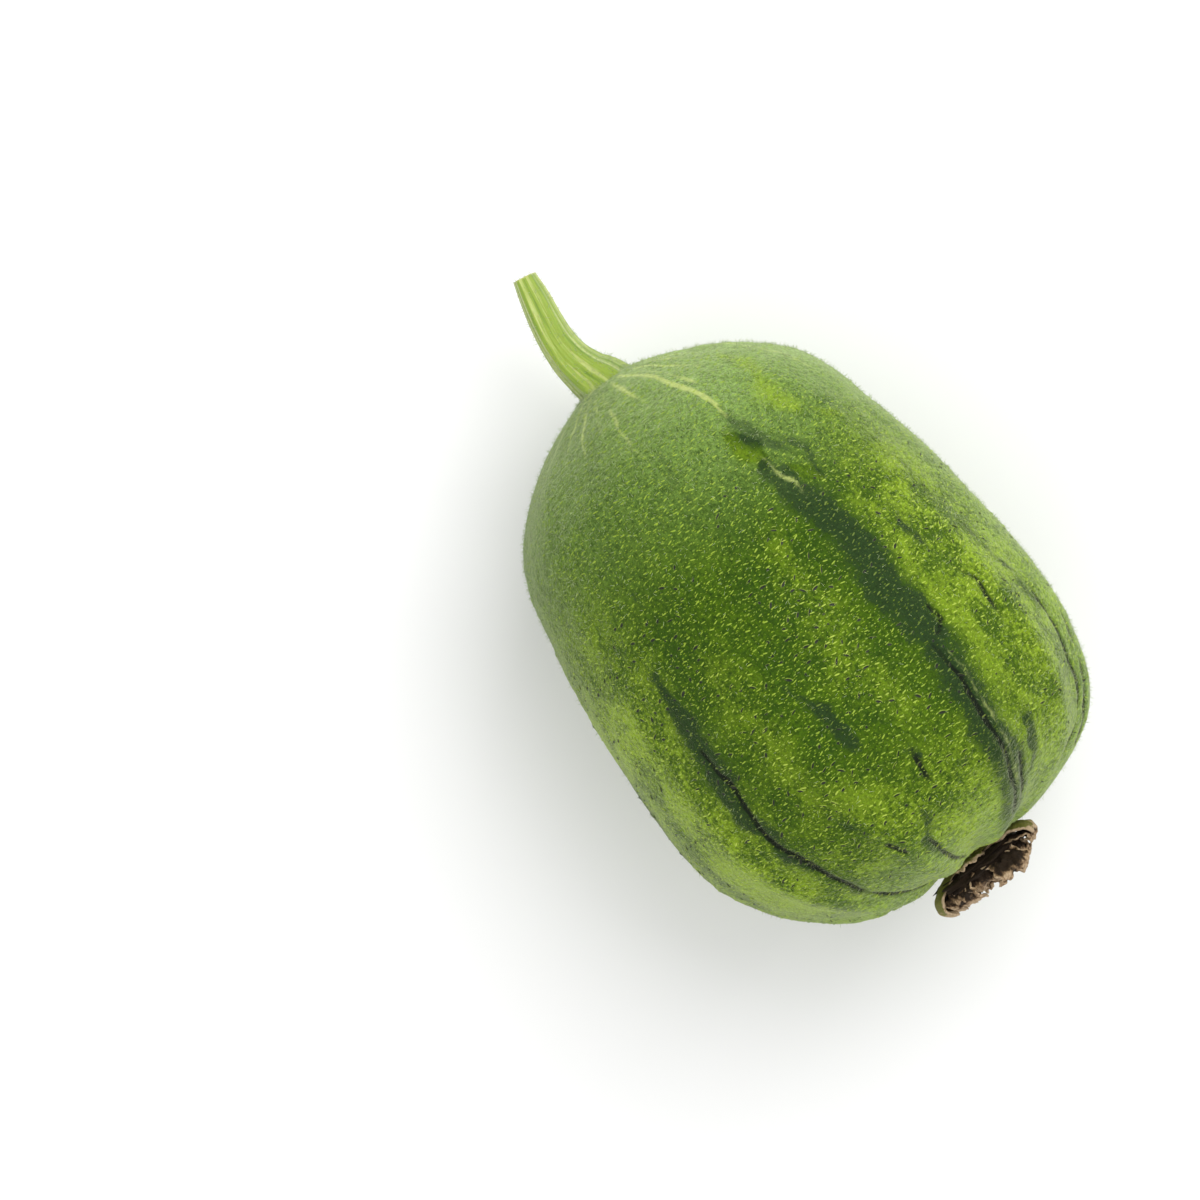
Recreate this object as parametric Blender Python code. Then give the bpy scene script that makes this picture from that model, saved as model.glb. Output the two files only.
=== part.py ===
"""A young sponge gourd, picked and lying on its side.

The fruit is one solid of revolution with furrows and low warts. Its stalk stands on the flat seat at
one end. At the other end the dried calyx sits on a short boss, and the withered petals sit on it.

All shapes are first made in the fruit's own frame: the axis runs along +X from the stalk seat at
x = 0 to the blossom end, and angles round the axis are measured from +Z towards +Y. The last step
leans the fruit the way it comes to rest and sets it on the ground at z = 0.
"""

import math
import random

import bmesh
import bpy
import numpy as np
from mathutils import Matrix, Vector, geometry, noise

MM = 0.001
GAP = 0.3 * MM

# Fruit
FRUIT_LENGTH = 134.5 * MM
FRUIT_RADIUS = 51.7 * MM
WIDEST_AT = 92 * MM
SEAT_RADIUS = 7 * MM
BOSS_FOOT_RADIUS = 9.5 * MM
BOSS_RADIUS = 6 * MM
BOSS_HEIGHT = 0.7 * MM
BLOSSOM_END_SHIFT = 2 * MM
BOSS_SHIFT = -2.5 * MM
FRUIT_RINGS = 60
FRUIT_SEGMENTS = 72
REST_FLAT_DEPTH = 1.6 * MM

# Furrows run from the stalk to the blossom end and deepen towards it. Near the axis they narrow to a
# share of the radius there.
FURROW_ANGLES = [-88, -51, -14, 26, 55, 78, 115, 152, 190, 230]
FURROW_HALF_WIDTH = 3.6 * MM
FURROW_WIDTH_LIMIT = 0.16
FURROW_DEPTH_AT_STALK = 0.4 * MM
FURROW_DEPTH_AT_BLOSSOM = 1.8 * MM

# Warts and the broad lumps of the skin between them
WART_COUNT = 190
WART_SPACING = 8 * MM
WART_RADIUS = 4 * MM
WART_HEIGHT = (0.2 * MM, 0.7 * MM)
WART_SEED = 7
LUMP_SIZE = 13 * MM
LUMP_HEIGHT = 0.5 * MM

# The relief grows from nothing between these radii at the two ends, and between these distances from
# the middle of the spot that the fruit rests on.
WART_CLEAR_RADII = (SEAT_RADIUS, 20 * MM)
FURROW_CLEAR_RADII = (BOSS_FOOT_RADIUS, 16 * MM)
REST_CLEAR = (14 * MM, 28 * MM)

# Stalk: points of its centre line, with its radius at each
STALK_PATH = [
    (0.0, 0.0, 6.5),
    (-1.5, -0.4, 5.9),
    (-4.0, -1.2, 5.2),
    (-8.5, -2.1, 4.5),
    (-13.5, -2.1, 4.0),
    (-18.5, -1.4, 3.7),
    (-24.5, -0.1, 3.3),
    (-29.9, 1.0, 2.6),
]
STALK_RIDGES = 5
STALK_RIDGE_SHARE = 0.08
STALK_SIDES = 40
STALK_STEPS = 3

# Calyx. Each sepal has its direction round the axis in degrees, how far out it reaches, and how far
# its tip rises away from the fruit; one with a negative rise droops towards it.
CALYX_RADIUS = 6.5 * MM
CALYX_THICKNESS = 1.6 * MM
SEPALS = [
    (-84, 15.2 * MM, 5.4 * MM),
    (-6, 12.5 * MM, -0.4 * MM),
    (68, 15.0 * MM, 0.4 * MM),
    (138, 13.5 * MM, 3.5 * MM),
    (210, 12.5 * MM, 4.5 * MM),
]
SEPAL_HALF_WIDTH = 2.9 * MM
SEPAL_ROWS = 7

# Withered petals: direction, reach, rise, and how far from the axis the tip has curled back to
PETAL_HUB_RADIUS = 5 * MM
PETAL_HUB_THICKNESS = 1.6 * MM
PETALS = [
    (-40, 12.0 * MM, 5.0 * MM, 6.0 * MM),
    (31, 13.0 * MM, 5.8 * MM, 7.5 * MM),
    (103, 12.5 * MM, 4.6 * MM, 5.6 * MM),
    (174, 12.0 * MM, 5.8 * MM, 7.0 * MM),
    (248, 12.5 * MM, 5.2 * MM, 6.0 * MM),
]
PETAL_HALF_WIDTH = 3 * MM
PETAL_ROWS = 9
PETAL_CRUMPLE = 0.7 * MM
STYLE_RADIUS = 1.6 * MM
STYLE_LENGTH = 3.2 * MM
BLADE_THICKNESS = 0.8 * MM

GREEN_SKIN = (0.10, 0.19, 0.02)
PALE_STALK = (0.36, 0.47, 0.08)
OLIVE_SEPAL = (0.17, 0.18, 0.04)
DARK_PETAL = (0.035, 0.02, 0.008)


def clear_scene():
    for item in list(bpy.data.objects):
        bpy.data.objects.remove(item, do_unlink=True)


def plain_material(name, colour, roughness):
    material = bpy.data.materials.new(name)
    material.use_nodes = True
    shader = material.node_tree.nodes["Principled BSDF"]
    shader.inputs["Base Color"].default_value = (*colour, 1)
    shader.inputs["Roughness"].default_value = roughness
    shader.inputs["Metallic"].default_value = 0
    return material


def object_from_bmesh(shape, name):
    """Turns a bmesh into a smooth-shaded object in the scene."""
    bmesh.ops.recalc_face_normals(shape, faces=shape.faces)
    mesh = bpy.data.meshes.new(name)
    shape.to_mesh(mesh)
    shape.free()
    mesh.shade_smooth()
    piece = bpy.data.objects.new(name, mesh)
    bpy.context.scene.collection.objects.link(piece)
    return piece


def evenly_spaced(outline, count):
    """Points at equal steps along an outline of (x, radius) points."""
    outline = np.array(outline)
    steps = np.hypot(*np.diff(outline, axis=0).T)
    travelled = np.concatenate([[0], np.cumsum(steps)])
    wanted = np.linspace(0, travelled[-1], count)
    return np.column_stack([np.interp(wanted, travelled, outline[:, side]) for side in (0, 1)])


def curve_points(start, handle_out, handle_in, end, count=60):
    """A Bezier curve's points in the (x, radius) plane."""
    ends = [Vector((x, radius, 0)) for x, radius in (start, handle_out, handle_in, end)]
    return [(point.x, point.y) for point in geometry.interpolate_bezier(*ends, count)]


def fruit_outline():
    """Half of the fruit's lengthwise section, from the rim of the stalk seat to the blossom boss."""
    neck = (0.184 * FRUIT_LENGTH, 0.803 * FRUIT_RADIUS)
    widest = (WIDEST_AT, FRUIT_RADIUS)
    shoulder = curve_points(
        (0, SEAT_RADIUS),
        (0.049 * FRUIT_LENGTH, 0.481 * FRUIT_RADIUS),
        (0.110 * FRUIT_LENGTH, 0.715 * FRUIT_RADIUS),
        neck,
    )
    side = curve_points(
        neck,
        (0.264 * FRUIT_LENGTH, 0.9 * FRUIT_RADIUS),
        (0.505 * FRUIT_LENGTH, FRUIT_RADIUS),
        widest,
    )
    blossom_end = curve_points(
        widest,
        (0.805 * FRUIT_LENGTH, FRUIT_RADIUS),
        (1.003 * FRUIT_LENGTH, 0.87 * FRUIT_RADIUS),
        (FRUIT_LENGTH, BOSS_FOOT_RADIUS),
    )
    boss_end = FRUIT_LENGTH + BOSS_HEIGHT
    boss = curve_points(
        (FRUIT_LENGTH, BOSS_FOOT_RADIUS),
        (FRUIT_LENGTH, BOSS_RADIUS + 1.2 * MM),
        (FRUIT_LENGTH + 0.4 * BOSS_HEIGHT, BOSS_RADIUS),
        (boss_end, BOSS_RADIUS),
    )
    return shoulder + side[1:] + blossom_end[1:] + boss[1:]


def turned_solid(outline, segments):
    """Spins an outline of (x, radius) points round the X axis and closes its two flat ends."""
    shape = bmesh.new()
    points = [(outline[0][0], 0)] + list(outline) + [(outline[-1][0], 0)]
    line = [shape.verts.new((x, 0, radius)) for x, radius in points]
    edges = [shape.edges.new(pair) for pair in zip(line, line[1:])]
    bmesh.ops.spin(
        shape,
        geom=line + edges,
        axis=(1, 0, 0),
        cent=(0, 0, 0),
        angle=math.tau,
        steps=segments,
    )
    bmesh.ops.remove_doubles(shape, verts=shape.verts, dist=0.01 * MM)
    return shape


def smooth_step(value, start, end):
    share = min(max((value - start) / (end - start), 0), 1)
    return share * share * (3 - 2 * share)


def turn_between(angle, other):
    """The smallest turn between two angles, in radians."""
    return abs((angle - other + math.pi) % math.tau - math.pi)


def furrow_depth(x, angle, radius):
    """How far the furrows sink the skin at one place."""
    along = smooth_step(x, 0.35 * FRUIT_LENGTH, 0.95 * FRUIT_LENGTH)
    depth = FURROW_DEPTH_AT_STALK + along * (FURROW_DEPTH_AT_BLOSSOM - FURROW_DEPTH_AT_STALK)
    nearest = min(turn_between(angle, math.radians(furrow)) for furrow in FURROW_ANGLES)
    half_width = min(FURROW_HALF_WIDTH, FURROW_WIDTH_LIMIT * radius)
    return depth * math.exp(-((nearest * radius / half_width) ** 2))


def wart_places(points, seed):
    """Picks wart centres among the skin's points, none too near another, each with its height."""
    draw = random.Random(seed)
    places = []
    for place in draw.sample(points, len(points)):
        if all((place - other).length > WART_SPACING for other, _ in places):
            places.append((place, draw.uniform(*WART_HEIGHT)))
        if len(places) == WART_COUNT:
            break
    return places


def add_skin_relief(shape, contact):
    """Moves the turned skin in and out: furrows, broad lumps and warts.

    The relief fades out at the stalk seat and at the boss, and round the spot that the fruit rests on.
    """
    shape.normal_update()
    skin = [vert for vert in shape.verts if math.hypot(vert.co.y, vert.co.z) > BOSS_FOOT_RADIUS]
    warts = wart_places([vert.co.copy() for vert in skin], WART_SEED)
    heights = []
    for vert in skin:
        radius = math.hypot(vert.co.y, vert.co.z)
        angle = math.atan2(vert.co.y, vert.co.z)
        height = LUMP_HEIGHT * noise.noise(vert.co / LUMP_SIZE)
        for place, wart_height in warts:
            away = (vert.co - place).length / WART_RADIUS
            height += wart_height * math.exp(-away * away)
        height *= smooth_step(radius, *WART_CLEAR_RADII)
        height -= smooth_step(radius, *FURROW_CLEAR_RADII) * furrow_depth(vert.co.x, angle, radius)
        heights.append(height * smooth_step((vert.co - contact).length, *REST_CLEAR))
    for vert, height in zip(skin, heights):
        vert.co += vert.normal * height


def resting_lean(outline):
    """Finds where the turned fruit touches level ground.

    It rests on the point of its outline that is nearest to its centre of mass. The result is that
    point, as x and radius, and the angle by which the stalk end dips.
    """
    x, radius = np.array(outline).T
    slices = np.pi * (radius[1:] ** 2 + radius[:-1] ** 2) / 2 * np.diff(x)
    centre = np.sum(slices * (x[1:] + x[:-1]) / 2) / np.sum(slices)
    side = np.flatnonzero(radius > 0.8 * FRUIT_RADIUS)
    touch = side[np.argmin(np.hypot(x[side] - centre, radius[side]))]
    lean = math.atan2(centre - x[touch], radius[touch])
    return float(x[touch]), float(radius[touch]), lean


def make_fruit(outline, contact, lean):
    """The fruit, already leaning as it rests, with its underside cut to a small flat spot."""
    shape = turned_solid(evenly_spaced(outline, FRUIT_RINGS), FRUIT_SEGMENTS)
    add_skin_relief(shape, contact)
    for vert in shape.verts:
        vert.co.y += blossom_shift(vert.co.x)
    shape.transform(Matrix.Rotation(-lean, 4, "Y"))
    ground = min(vert.co.z for vert in shape.verts) + REST_FLAT_DEPTH
    for vert in shape.verts:
        vert.co.z = max(vert.co.z, ground)
    return object_from_bmesh(shape, "fruit"), ground


def blossom_shift(x):
    """The blossom end leans a little to one side, and its boss sits off its middle, to the other side."""
    lean = BLOSSOM_END_SHIFT * smooth_step(x, 0.75 * FRUIT_LENGTH, FRUIT_LENGTH)
    return lean + BOSS_SHIFT * smooth_step(x, 0.94 * FRUIT_LENGTH, FRUIT_LENGTH)


def ridged_ring(centre, across, radius):
    """One cross-section of the stalk: a ring with long ridges, square to its centre line."""
    ring = []
    for side in range(STALK_SIDES):
        turn = math.tau * side / STALK_SIDES
        share = 1 + STALK_RIDGE_SHARE * math.cos(STALK_RIDGES * turn)
        share += 0.4 * STALK_RIDGE_SHARE * math.cos(2 * STALK_RIDGES * turn)
        out = across * math.sin(turn) + Vector((0, 0, math.cos(turn)))
        ring.append(centre + out * (radius * share))
    return ring


def smooth_path(points, steps):
    """Points on a smooth Catmull-Rom curve through the given points, with so many steps between two."""
    points = [Vector(point) for point in points]
    ends = [2 * points[0] - points[1]] + points + [2 * points[-1] - points[-2]]
    path = []
    for before, start, end, after in zip(ends, ends[1:], ends[2:], ends[3:]):
        for step in range(steps):
            t = step / steps
            bend = (2 * before - 5 * start + 4 * end - after) * t**2
            twist = (3 * start - before - 3 * end + after) * t**3
            path.append((2 * start + (end - before) * t + bend + twist) / 2)
    return path + [points[-1]]


def make_stem():
    """The stalk: rings along its curved centre line, bridged, with flat ends."""
    path = [point * MM for point in smooth_path(STALK_PATH, STALK_STEPS)]
    shape = bmesh.new()
    rings = []
    for step, (x, y, radius) in enumerate(path):
        before, after = path[max(step - 1, 0)], path[min(step + 1, len(path) - 1)]
        along = (before - after).xy.normalized() if step else Vector((1, 0))
        across = Vector((-along.y, along.x, 0))
        places = ridged_ring(Vector((x - GAP, y, 0)), across, radius)
        rings.append([shape.verts.new(place) for place in places])
    for ring, following in zip(rings, rings[1:]):
        for side in range(STALK_SIDES):
            after = (side + 1) % STALK_SIDES
            shape.faces.new((ring[side], ring[after], following[after], following[side]))
    shape.faces.new(rings[0])
    shape.faces.new(rings[-1])
    return object_from_bmesh(shape, "stem")


def disc(name, start, thickness, radius, segments=30):
    """A round disc across the fruit's axis, from x = start outwards."""
    rounding = 0.3 * thickness
    outline = [
        (start, radius - rounding),
        (start + rounding, radius),
        (start + thickness - rounding, radius),
        (start + thickness, radius - rounding),
    ]
    return object_from_bmesh(turned_solid(outline, segments), name)


def sepal_spine(root, reach, rise):
    """A sepal's centre line, as (out, lift) points: it spreads, and its end bends up or down."""
    bend = (0.85 * reach + 0.7 * abs(rise), 0.2 * rise)
    return curve_points((root, 0), (0.7 * reach, -0.25 * rise), bend, (reach, rise), SEPAL_ROWS + 1)


def petal_spine(root, reach, rise, tip):
    """A petal's centre line, as (out, lift) points: it spreads, rises and curls back inwards."""
    return curve_points(
        (root, 0), (0.75 * reach, 0), (1.3 * reach, 0.75 * rise), (tip, rise), PETAL_ROWS + 1
    )


def blade(name, spine, direction, base_x, half_width, wave, columns):
    """A thin closed blade along its spine, in one direction round the fruit's axis.

    half_width(along) is its half width for along in 0..1, and wave(along, across) lifts it, for
    across in -1..1. The sheet is split into triangles before it is thickened, so both faces have the
    same ones.
    """
    radial = Vector((0, math.sin(direction), math.cos(direction)))
    tangent = Vector((0, math.cos(direction), -math.sin(direction)))
    shape = bmesh.new()
    grid = []
    for row, (out, lift) in enumerate(spine):
        along = row / (len(spine) - 1)
        line = []
        for column in range(columns + 1):
            across = 2 * column / columns - 1
            x = base_x + lift + wave(along, across)
            point = Vector((x, 0, 0)) + radial * out + tangent * (half_width(along) * across)
            line.append(shape.verts.new(point))
        grid.append(line)
    for near, far in zip(grid, grid[1:]):
        for column in range(columns):
            shape.faces.new((near[column], near[column + 1], far[column + 1]))
            shape.faces.new((near[column], far[column + 1], far[column]))
    piece = object_from_bmesh(shape, name)
    thicken = piece.modifiers.new("Thickness", "SOLIDIFY")
    thicken.thickness = BLADE_THICKNESS
    thicken.offset = 0
    thicken.use_even_offset = False
    return piece


def joined(hub, blades, name):
    """Fuses the blades and the hub into one closed body."""
    group = bpy.data.collections.new(name + "_blades")
    bpy.context.scene.collection.children.link(group)
    for piece in blades:
        bpy.context.scene.collection.objects.unlink(piece)
        group.objects.link(piece)
    union = hub.modifiers.new("Join", "BOOLEAN")
    union.operation = "UNION"
    union.operand_type = "COLLECTION"
    union.collection = group
    union.solver = "EXACT"
    bpy.context.view_layer.update()
    evaluated = hub.evaluated_get(bpy.context.evaluated_depsgraph_get())
    mesh = bpy.data.meshes.new_from_object(evaluated)
    for piece in [hub] + blades:
        bpy.data.objects.remove(piece, do_unlink=True)
    bpy.data.collections.remove(group)
    mesh.shade_smooth()
    body = bpy.data.objects.new(name, mesh)
    bpy.context.scene.collection.objects.link(body)
    return body


def make_calyx(start, centre):
    """The calyx ring with five dried sepals."""
    hub = disc("calyx_ring", start, CALYX_THICKNESS, CALYX_RADIUS)

    def half_width(along):
        return SEPAL_HALF_WIDTH * (0.12 + 0.88 * math.sin(math.pi * (0.3 + 0.65 * along)))

    def wave(along, across):
        return 0.6 * MM * across**2 + 0.25 * MM * math.sin(8 * along)

    sepals = []
    for angle, reach, rise in SEPALS:
        spine = sepal_spine(0.7 * CALYX_RADIUS, reach, rise)
        middle = start + CALYX_THICKNESS / 2
        sepals.append(blade("sepal", spine, math.radians(angle), middle, half_width, wave, columns=4))
    body = joined(hub, sepals, "calyx")
    body.data.transform(Matrix.Translation(centre))
    return body


def make_petals(start, centre):
    """The withered petals: five crumpled blades round the stump of the style, on one small hub."""
    hub = disc("petal_hub", start, PETAL_HUB_THICKNESS, PETAL_HUB_RADIUS)
    draw = random.Random(11)

    def half_width(along):
        return PETAL_HALF_WIDTH * (0.45 + 0.55 * math.sin(math.pi * (0.15 + 0.8 * along)))

    blades = [disc("style", start + PETAL_HUB_THICKNESS / 2, STYLE_LENGTH, STYLE_RADIUS, 12)]
    for angle, reach, rise, tip in PETALS:
        phase = draw.uniform(0, math.tau)

        def wave(along, across, phase=phase):
            crease = PETAL_CRUMPLE * along * math.sin(4.5 * across + phase)
            return crease + 0.4 * PETAL_CRUMPLE * math.sin(9 * along + phase) * along

        spine = petal_spine(0.7 * PETAL_HUB_RADIUS, reach, rise, tip)
        middle = start + PETAL_HUB_THICKNESS / 2
        blades.append(blade("petal", spine, math.radians(angle), middle, half_width, wave, columns=6))
    body = joined(hub, blades, "withered_petals")
    body.data.transform(Matrix.Translation(centre))
    return body


def set_down(pieces, ground):
    """Stands the pieces on z = 0 with the middle of their common box over the origin."""
    corners = [vert.co for piece in pieces for vert in piece.data.vertices]
    middle_x = (min(c.x for c in corners) + max(c.x for c in corners)) / 2
    middle_y = (min(c.y for c in corners) + max(c.y for c in corners)) / 2
    move = Matrix.Translation((-middle_x, -middle_y, -ground))
    for piece in pieces:
        piece.data.transform(move)


def build():
    clear_scene()
    outline = fruit_outline()
    touch_x, touch_radius, lean = resting_lean(outline)
    contact = Vector((touch_x, 0, -touch_radius))
    fruit, ground = make_fruit(outline, contact, lean)

    boss_top = FRUIT_LENGTH + BOSS_HEIGHT
    centre = Vector((0, blossom_shift(boss_top), 0))
    calyx_start = boss_top + GAP
    petals_start = calyx_start + CALYX_THICKNESS + GAP
    ends = [make_stem(), make_calyx(calyx_start, centre), make_petals(petals_start, centre)]
    for piece in ends:
        piece.data.transform(Matrix.Rotation(-lean, 4, "Y"))
    set_down([fruit] + ends, ground)

    looks = [
        (fruit, GREEN_SKIN, 0.5),
        (ends[0], PALE_STALK, 0.6),
        (ends[1], OLIVE_SEPAL, 0.8),
        (ends[2], DARK_PETAL, 0.85),
    ]
    for piece, colour, roughness in looks:
        piece.data.materials.clear()
        piece.data.materials.append(plain_material(piece.name + "_surface", colour, roughness))


build()
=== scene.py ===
"""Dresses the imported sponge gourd: fine flecked and hairy skin, ridged stalk, dried sepals and petals.

Shapes are made in the fruit's own frame, in metres: x runs along its axis from the stalk seat to the
blossom end, and turns round the axis are in degrees from +Z towards +Y. PLACE then sets them on the
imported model, where the fruit lies with its stalk end a little lower.
"""

import math
import random

import bmesh
import bpy
import numpy as np
from bpy.props import FloatProperty, FloatVectorProperty, IntProperty, PointerProperty
from mathutils import Matrix, Vector, geometry, noise
from mathutils.bvhtree import BVHTree


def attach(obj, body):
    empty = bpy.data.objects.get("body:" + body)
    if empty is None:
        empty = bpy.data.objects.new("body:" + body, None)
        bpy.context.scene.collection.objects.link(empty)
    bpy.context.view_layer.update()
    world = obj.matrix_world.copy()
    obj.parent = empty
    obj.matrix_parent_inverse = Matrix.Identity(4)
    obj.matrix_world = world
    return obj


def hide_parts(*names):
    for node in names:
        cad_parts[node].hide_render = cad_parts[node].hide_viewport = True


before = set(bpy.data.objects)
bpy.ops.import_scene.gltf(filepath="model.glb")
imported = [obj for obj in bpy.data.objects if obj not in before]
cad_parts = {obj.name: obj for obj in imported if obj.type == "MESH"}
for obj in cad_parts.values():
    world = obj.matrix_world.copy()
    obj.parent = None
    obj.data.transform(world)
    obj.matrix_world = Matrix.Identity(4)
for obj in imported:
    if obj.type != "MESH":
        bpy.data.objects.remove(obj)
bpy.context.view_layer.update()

bl_info = {
    "name": "Sponge Gourd Dressing",
    "version": (1, 0, 0),
    "blender": (4, 5, 0),
    "location": "View3D > Sidebar > Gourd",
    "description": "Makes the fine skin, flecks, hairs, stalk, sepals and petals of a lying sponge gourd",
    "category": "Object",
}

MM = 0.001

FRUIT_LENGTH = 134.5 * MM
LEAN = math.radians(6.117)
SEAT_CENTRE = Vector((-57.074, 0.393, 41.136)) * MM
PLACE = Matrix.Translation(SEAT_CENTRE) @ Matrix.Rotation(-LEAN, 4, "Y")

# Size of the image, what one pixel covers at the fruit, the point on the fruit's axis that the lights
# face, and how far the image's middle lies to the left of that point and above it, in pixels
IMAGE_PIXELS = 1200
PIXEL = 0.2275 * MM
SEEN_ALONG = 68 * MM
PIXELS_LEFT = 187.7
PIXELS_UP = 19.0
SENSOR_WIDTH = 36
FLOOR_REACH = 3.0
FLOOR_DEPTH = 0.2 * MM

# A fixed seed for the wobble of the markings' edges, and how far from a band's line points are tried
NOISE_SEED = 5
BAND_MARGIN = 14 * MM

# Small colours that no setting holds
# Near black: painted shade in the creases
CREASE_SHADE_COLOUR = (0.006, 0.010, 0.005, 1)
# Near black: painted shade in the pits' hollows
PIT_SHADE_COLOUR = (0.007, 0.008, 0.004, 1)
STALK_DARK = (0.12, 0.22, 0.02, 1)
STALK_SPECKLE = (0.14, 0.20, 0.02, 1)
STALK_CUT = (0.50, 0.52, 0.20, 1)
# Cream of bleached tissue, also a painted highlight on raised folds
BLEACHED_AND_HIGHLIGHT = (0.66, 0.50, 0.32, 1)

# Stalk: x, y and radius in millimetres along its centre line
STALK_PATH = [
    (0.0, 0.0, 6.5),
    (-1.5, -0.4, 5.9),
    (-4.0, -1.2, 5.2),
    (-8.5, -2.1, 4.5),
    (-13.5, -2.1, 4.0),
    (-18.5, -1.4, 3.7),
    (-24.5, -0.1, 3.3),
    (-29.9, 1.0, 2.6),
]

# The flare that carries the stalk into the skin
STALK_FLARE = [(3.2, 0.0, 10.0), (1.5, 0.0, 8.2)]

# Blossom end
BLOSSOM_SHIFT = -0.5 * MM
BOSS_TOP = 134.8 * MM
GAP = 0.3 * MM
CALYX_RADIUS = 6.5 * MM
CALYX_THICKNESS = 1.6 * MM
PETAL_HUB_RADIUS = 5 * MM
PETAL_HUB_THICKNESS = 1.6 * MM
SEPAL_HALF_WIDTH = 3.7 * MM
SEPAL_THICKNESS = 0.55 * MM
PETAL_THICKNESS = 0.3 * MM

# Thickness and radius of the crumpled pad inside the petals, and length and radius of the style's stump; the
# pad's near-black fills the gaps between the petals, partly dark tissue and partly painted shade
INNER_PETALS_AND_SHADE = (4.6 * MM, 11 * MM)
STYLE = (3.6 * MM, 1.7 * MM)

# Sepals: direction round the axis in degrees, reach, rise of the tip away from the fruit, and how far
# from the axis the tip ends; where that is less than the reach, the sepal curls back over the petals
SEPALS = [
    (-72, 13.5, 8.0, 11.0),
    (-6, 12.5, 0.2, 12.5),
    (68, 16.4, 3.4, 16.4),
    (138, 13.5, 3.5, 13.5),
    (210, 12.5, 5.5, 9.0),
]

# Petals: direction, reach, rise, and how far from the axis the tip has curled back to; the loose one has
# half its width as well
LOOSE_PETAL = (70, 14.5, 3.2, 13.5, 2.6)
PETALS = [
    (-40, 12.0, 5.0, 6.0),
    (31, 13.0, 5.8, 7.5),
    (103, 12.5, 4.6, 5.6),
    (174, 12.0, 5.8, 7.0),
    (248, 12.5, 5.2, 6.0),
]

# Markings follow the surface. Each is a path of (x in mm, turn in degrees, half width in mm).
DARK_STRIPES = [
    [(37, 24, 3), (45, 26, 6), (54, 28, 7.5), (62, 29, 7), (70, 28, 7), (82, 29, 6.6), (90, 28, 6.5),
     (99, 27, 7.6), (108, 26, 6.6), (116, 27, 6.6), (123, 29, 6.4), (128, 29, 5.8), (134, 28, 4.5)],
    [(22, 26, 1.5), (25, 27, 3.2), (31, 29, 3.8), (37, 32, 3)],
    [(33, 34, 2), (40, 37, 3), (47, 36, 2.5)],
    [(60, -36, 3), (74, -37, 5), (87, -37, 5.5), (96, -38, 4.5), (104, -38, 3.6), (113, -37, 3),
     (122, -37, 2.2), (131, -38, 1.5)],
    [(61, 44, 1.2), (66, 44, 2.4), (71, 44, 3), (76, 45, 1.2)],
    [(40, 58, 1.2), (60, 60, 1.8), (80, 62, 2.2), (95, 66, 2.6), (108, 69, 2.4), (120, 70, 2.2),
     (131, 70, 1.6)],
    [(113, 41, 2), (118, 40, 3.2), (124, 39, 3.2), (129, 36, 2.4)],
    [(102, 8, 1), (106, 7, 3), (109, 6.5, 2), (112, 6, 1.2)],
    [(115, 15, 1), (116, 16, 2.4), (118, 17, 1)],
    [(116, 0, 1), (119, -1, 3.4), (122, -3, 2.4), (125, -5, 2.8), (130, -5, 2), (133, -3, 1.4)],
    [(108, -20, 1.5), (112, -19, 3.2), (116, -17, 1.5)],
    [(78, -8, 2), (88, -5, 3.6), (98, -3, 3)],
    [(14, 6, 1.2), (24, 2, 2), (36, 0, 1.4)],
    [(24, -30, 1.2), (36, -28, 2), (48, -27, 1.4)],
    [(60, 112, 5), (90, 116, 8), (120, 115, 6), (134, 115, 3)],
    [(40, 152, 4), (80, 150, 6), (120, 152, 5), (134, 152, 2)],
    [(60, 190, 6), (100, 191, 8), (134, 190, 3)],
    [(40, 228, 3), (80, 231, 6), (120, 230, 5), (134, 230, 2)],
    [(50, 270, 4), (90, 272, 7), (130, 272, 3)],
]
CREASES = [
    [(84, 33, 0.4), (88, 34, 0.5), (90, 30, 0.3)],
    [(91, 27, 0.3), (97, 27, 0.5), (102, 28, 0.55), (107, 27, 0.6), (112, 27, 0.65), (118, 28, 0.75),
     (126, 28, 0.8), (131, 29, 0.8), (135, 30, 0.7)],
    [(122, 33, 0.5), (128, 33, 0.8), (134, 33, 0.7)],
    [(79, -38, 0.4), (87, -36, 0.8), (95, -37, 1), (104, -38, 1.2), (113, -36, 1.3), (121, -36, 1.3),
     (129, -38, 1.2), (134, -37, 1)],
    [(81, 47, 0.2), (86, 50, 0.4), (90, 49, 0.5), (94, 49, 0.45), (99, 49, 0.25)],
    [(94, 68, 0.2), (99, 68, 0.5), (106, 70, 0.6), (112, 69, 0.7), (120, 70, 0.8), (128, 69, 0.8),
     (134, 66, 0.7)],
    [(104, 76, 0.3), (111, 76, 0.5), (117, 75, 0.6), (124, 74, 0.6), (130, 76, 0.5)],
    [(106, 7, 0.3), (112, 6, 0.6), (114, 6, 0.3)],
    [(125, -5, 0.4), (130, -5, 0.8), (134, -3, 0.6)],
    [(120, -15, 0.4), (122, -14, 0.9), (124, -13, 0.4)],
    [(102, 115, 0.5), (118, 115, 1.2), (135, 115, 1)],
    [(98, 152, 0.5), (116, 152, 1.2), (135, 152, 1)],
    [(104, 190, 0.5), (120, 190, 1.2), (135, 190, 1)],
    [(98, 230, 0.5), (118, 231, 1.2), (135, 230, 1)],
    [(100, 272, 0.5), (118, 272, 1.2), (135, 272, 1)],
]
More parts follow.
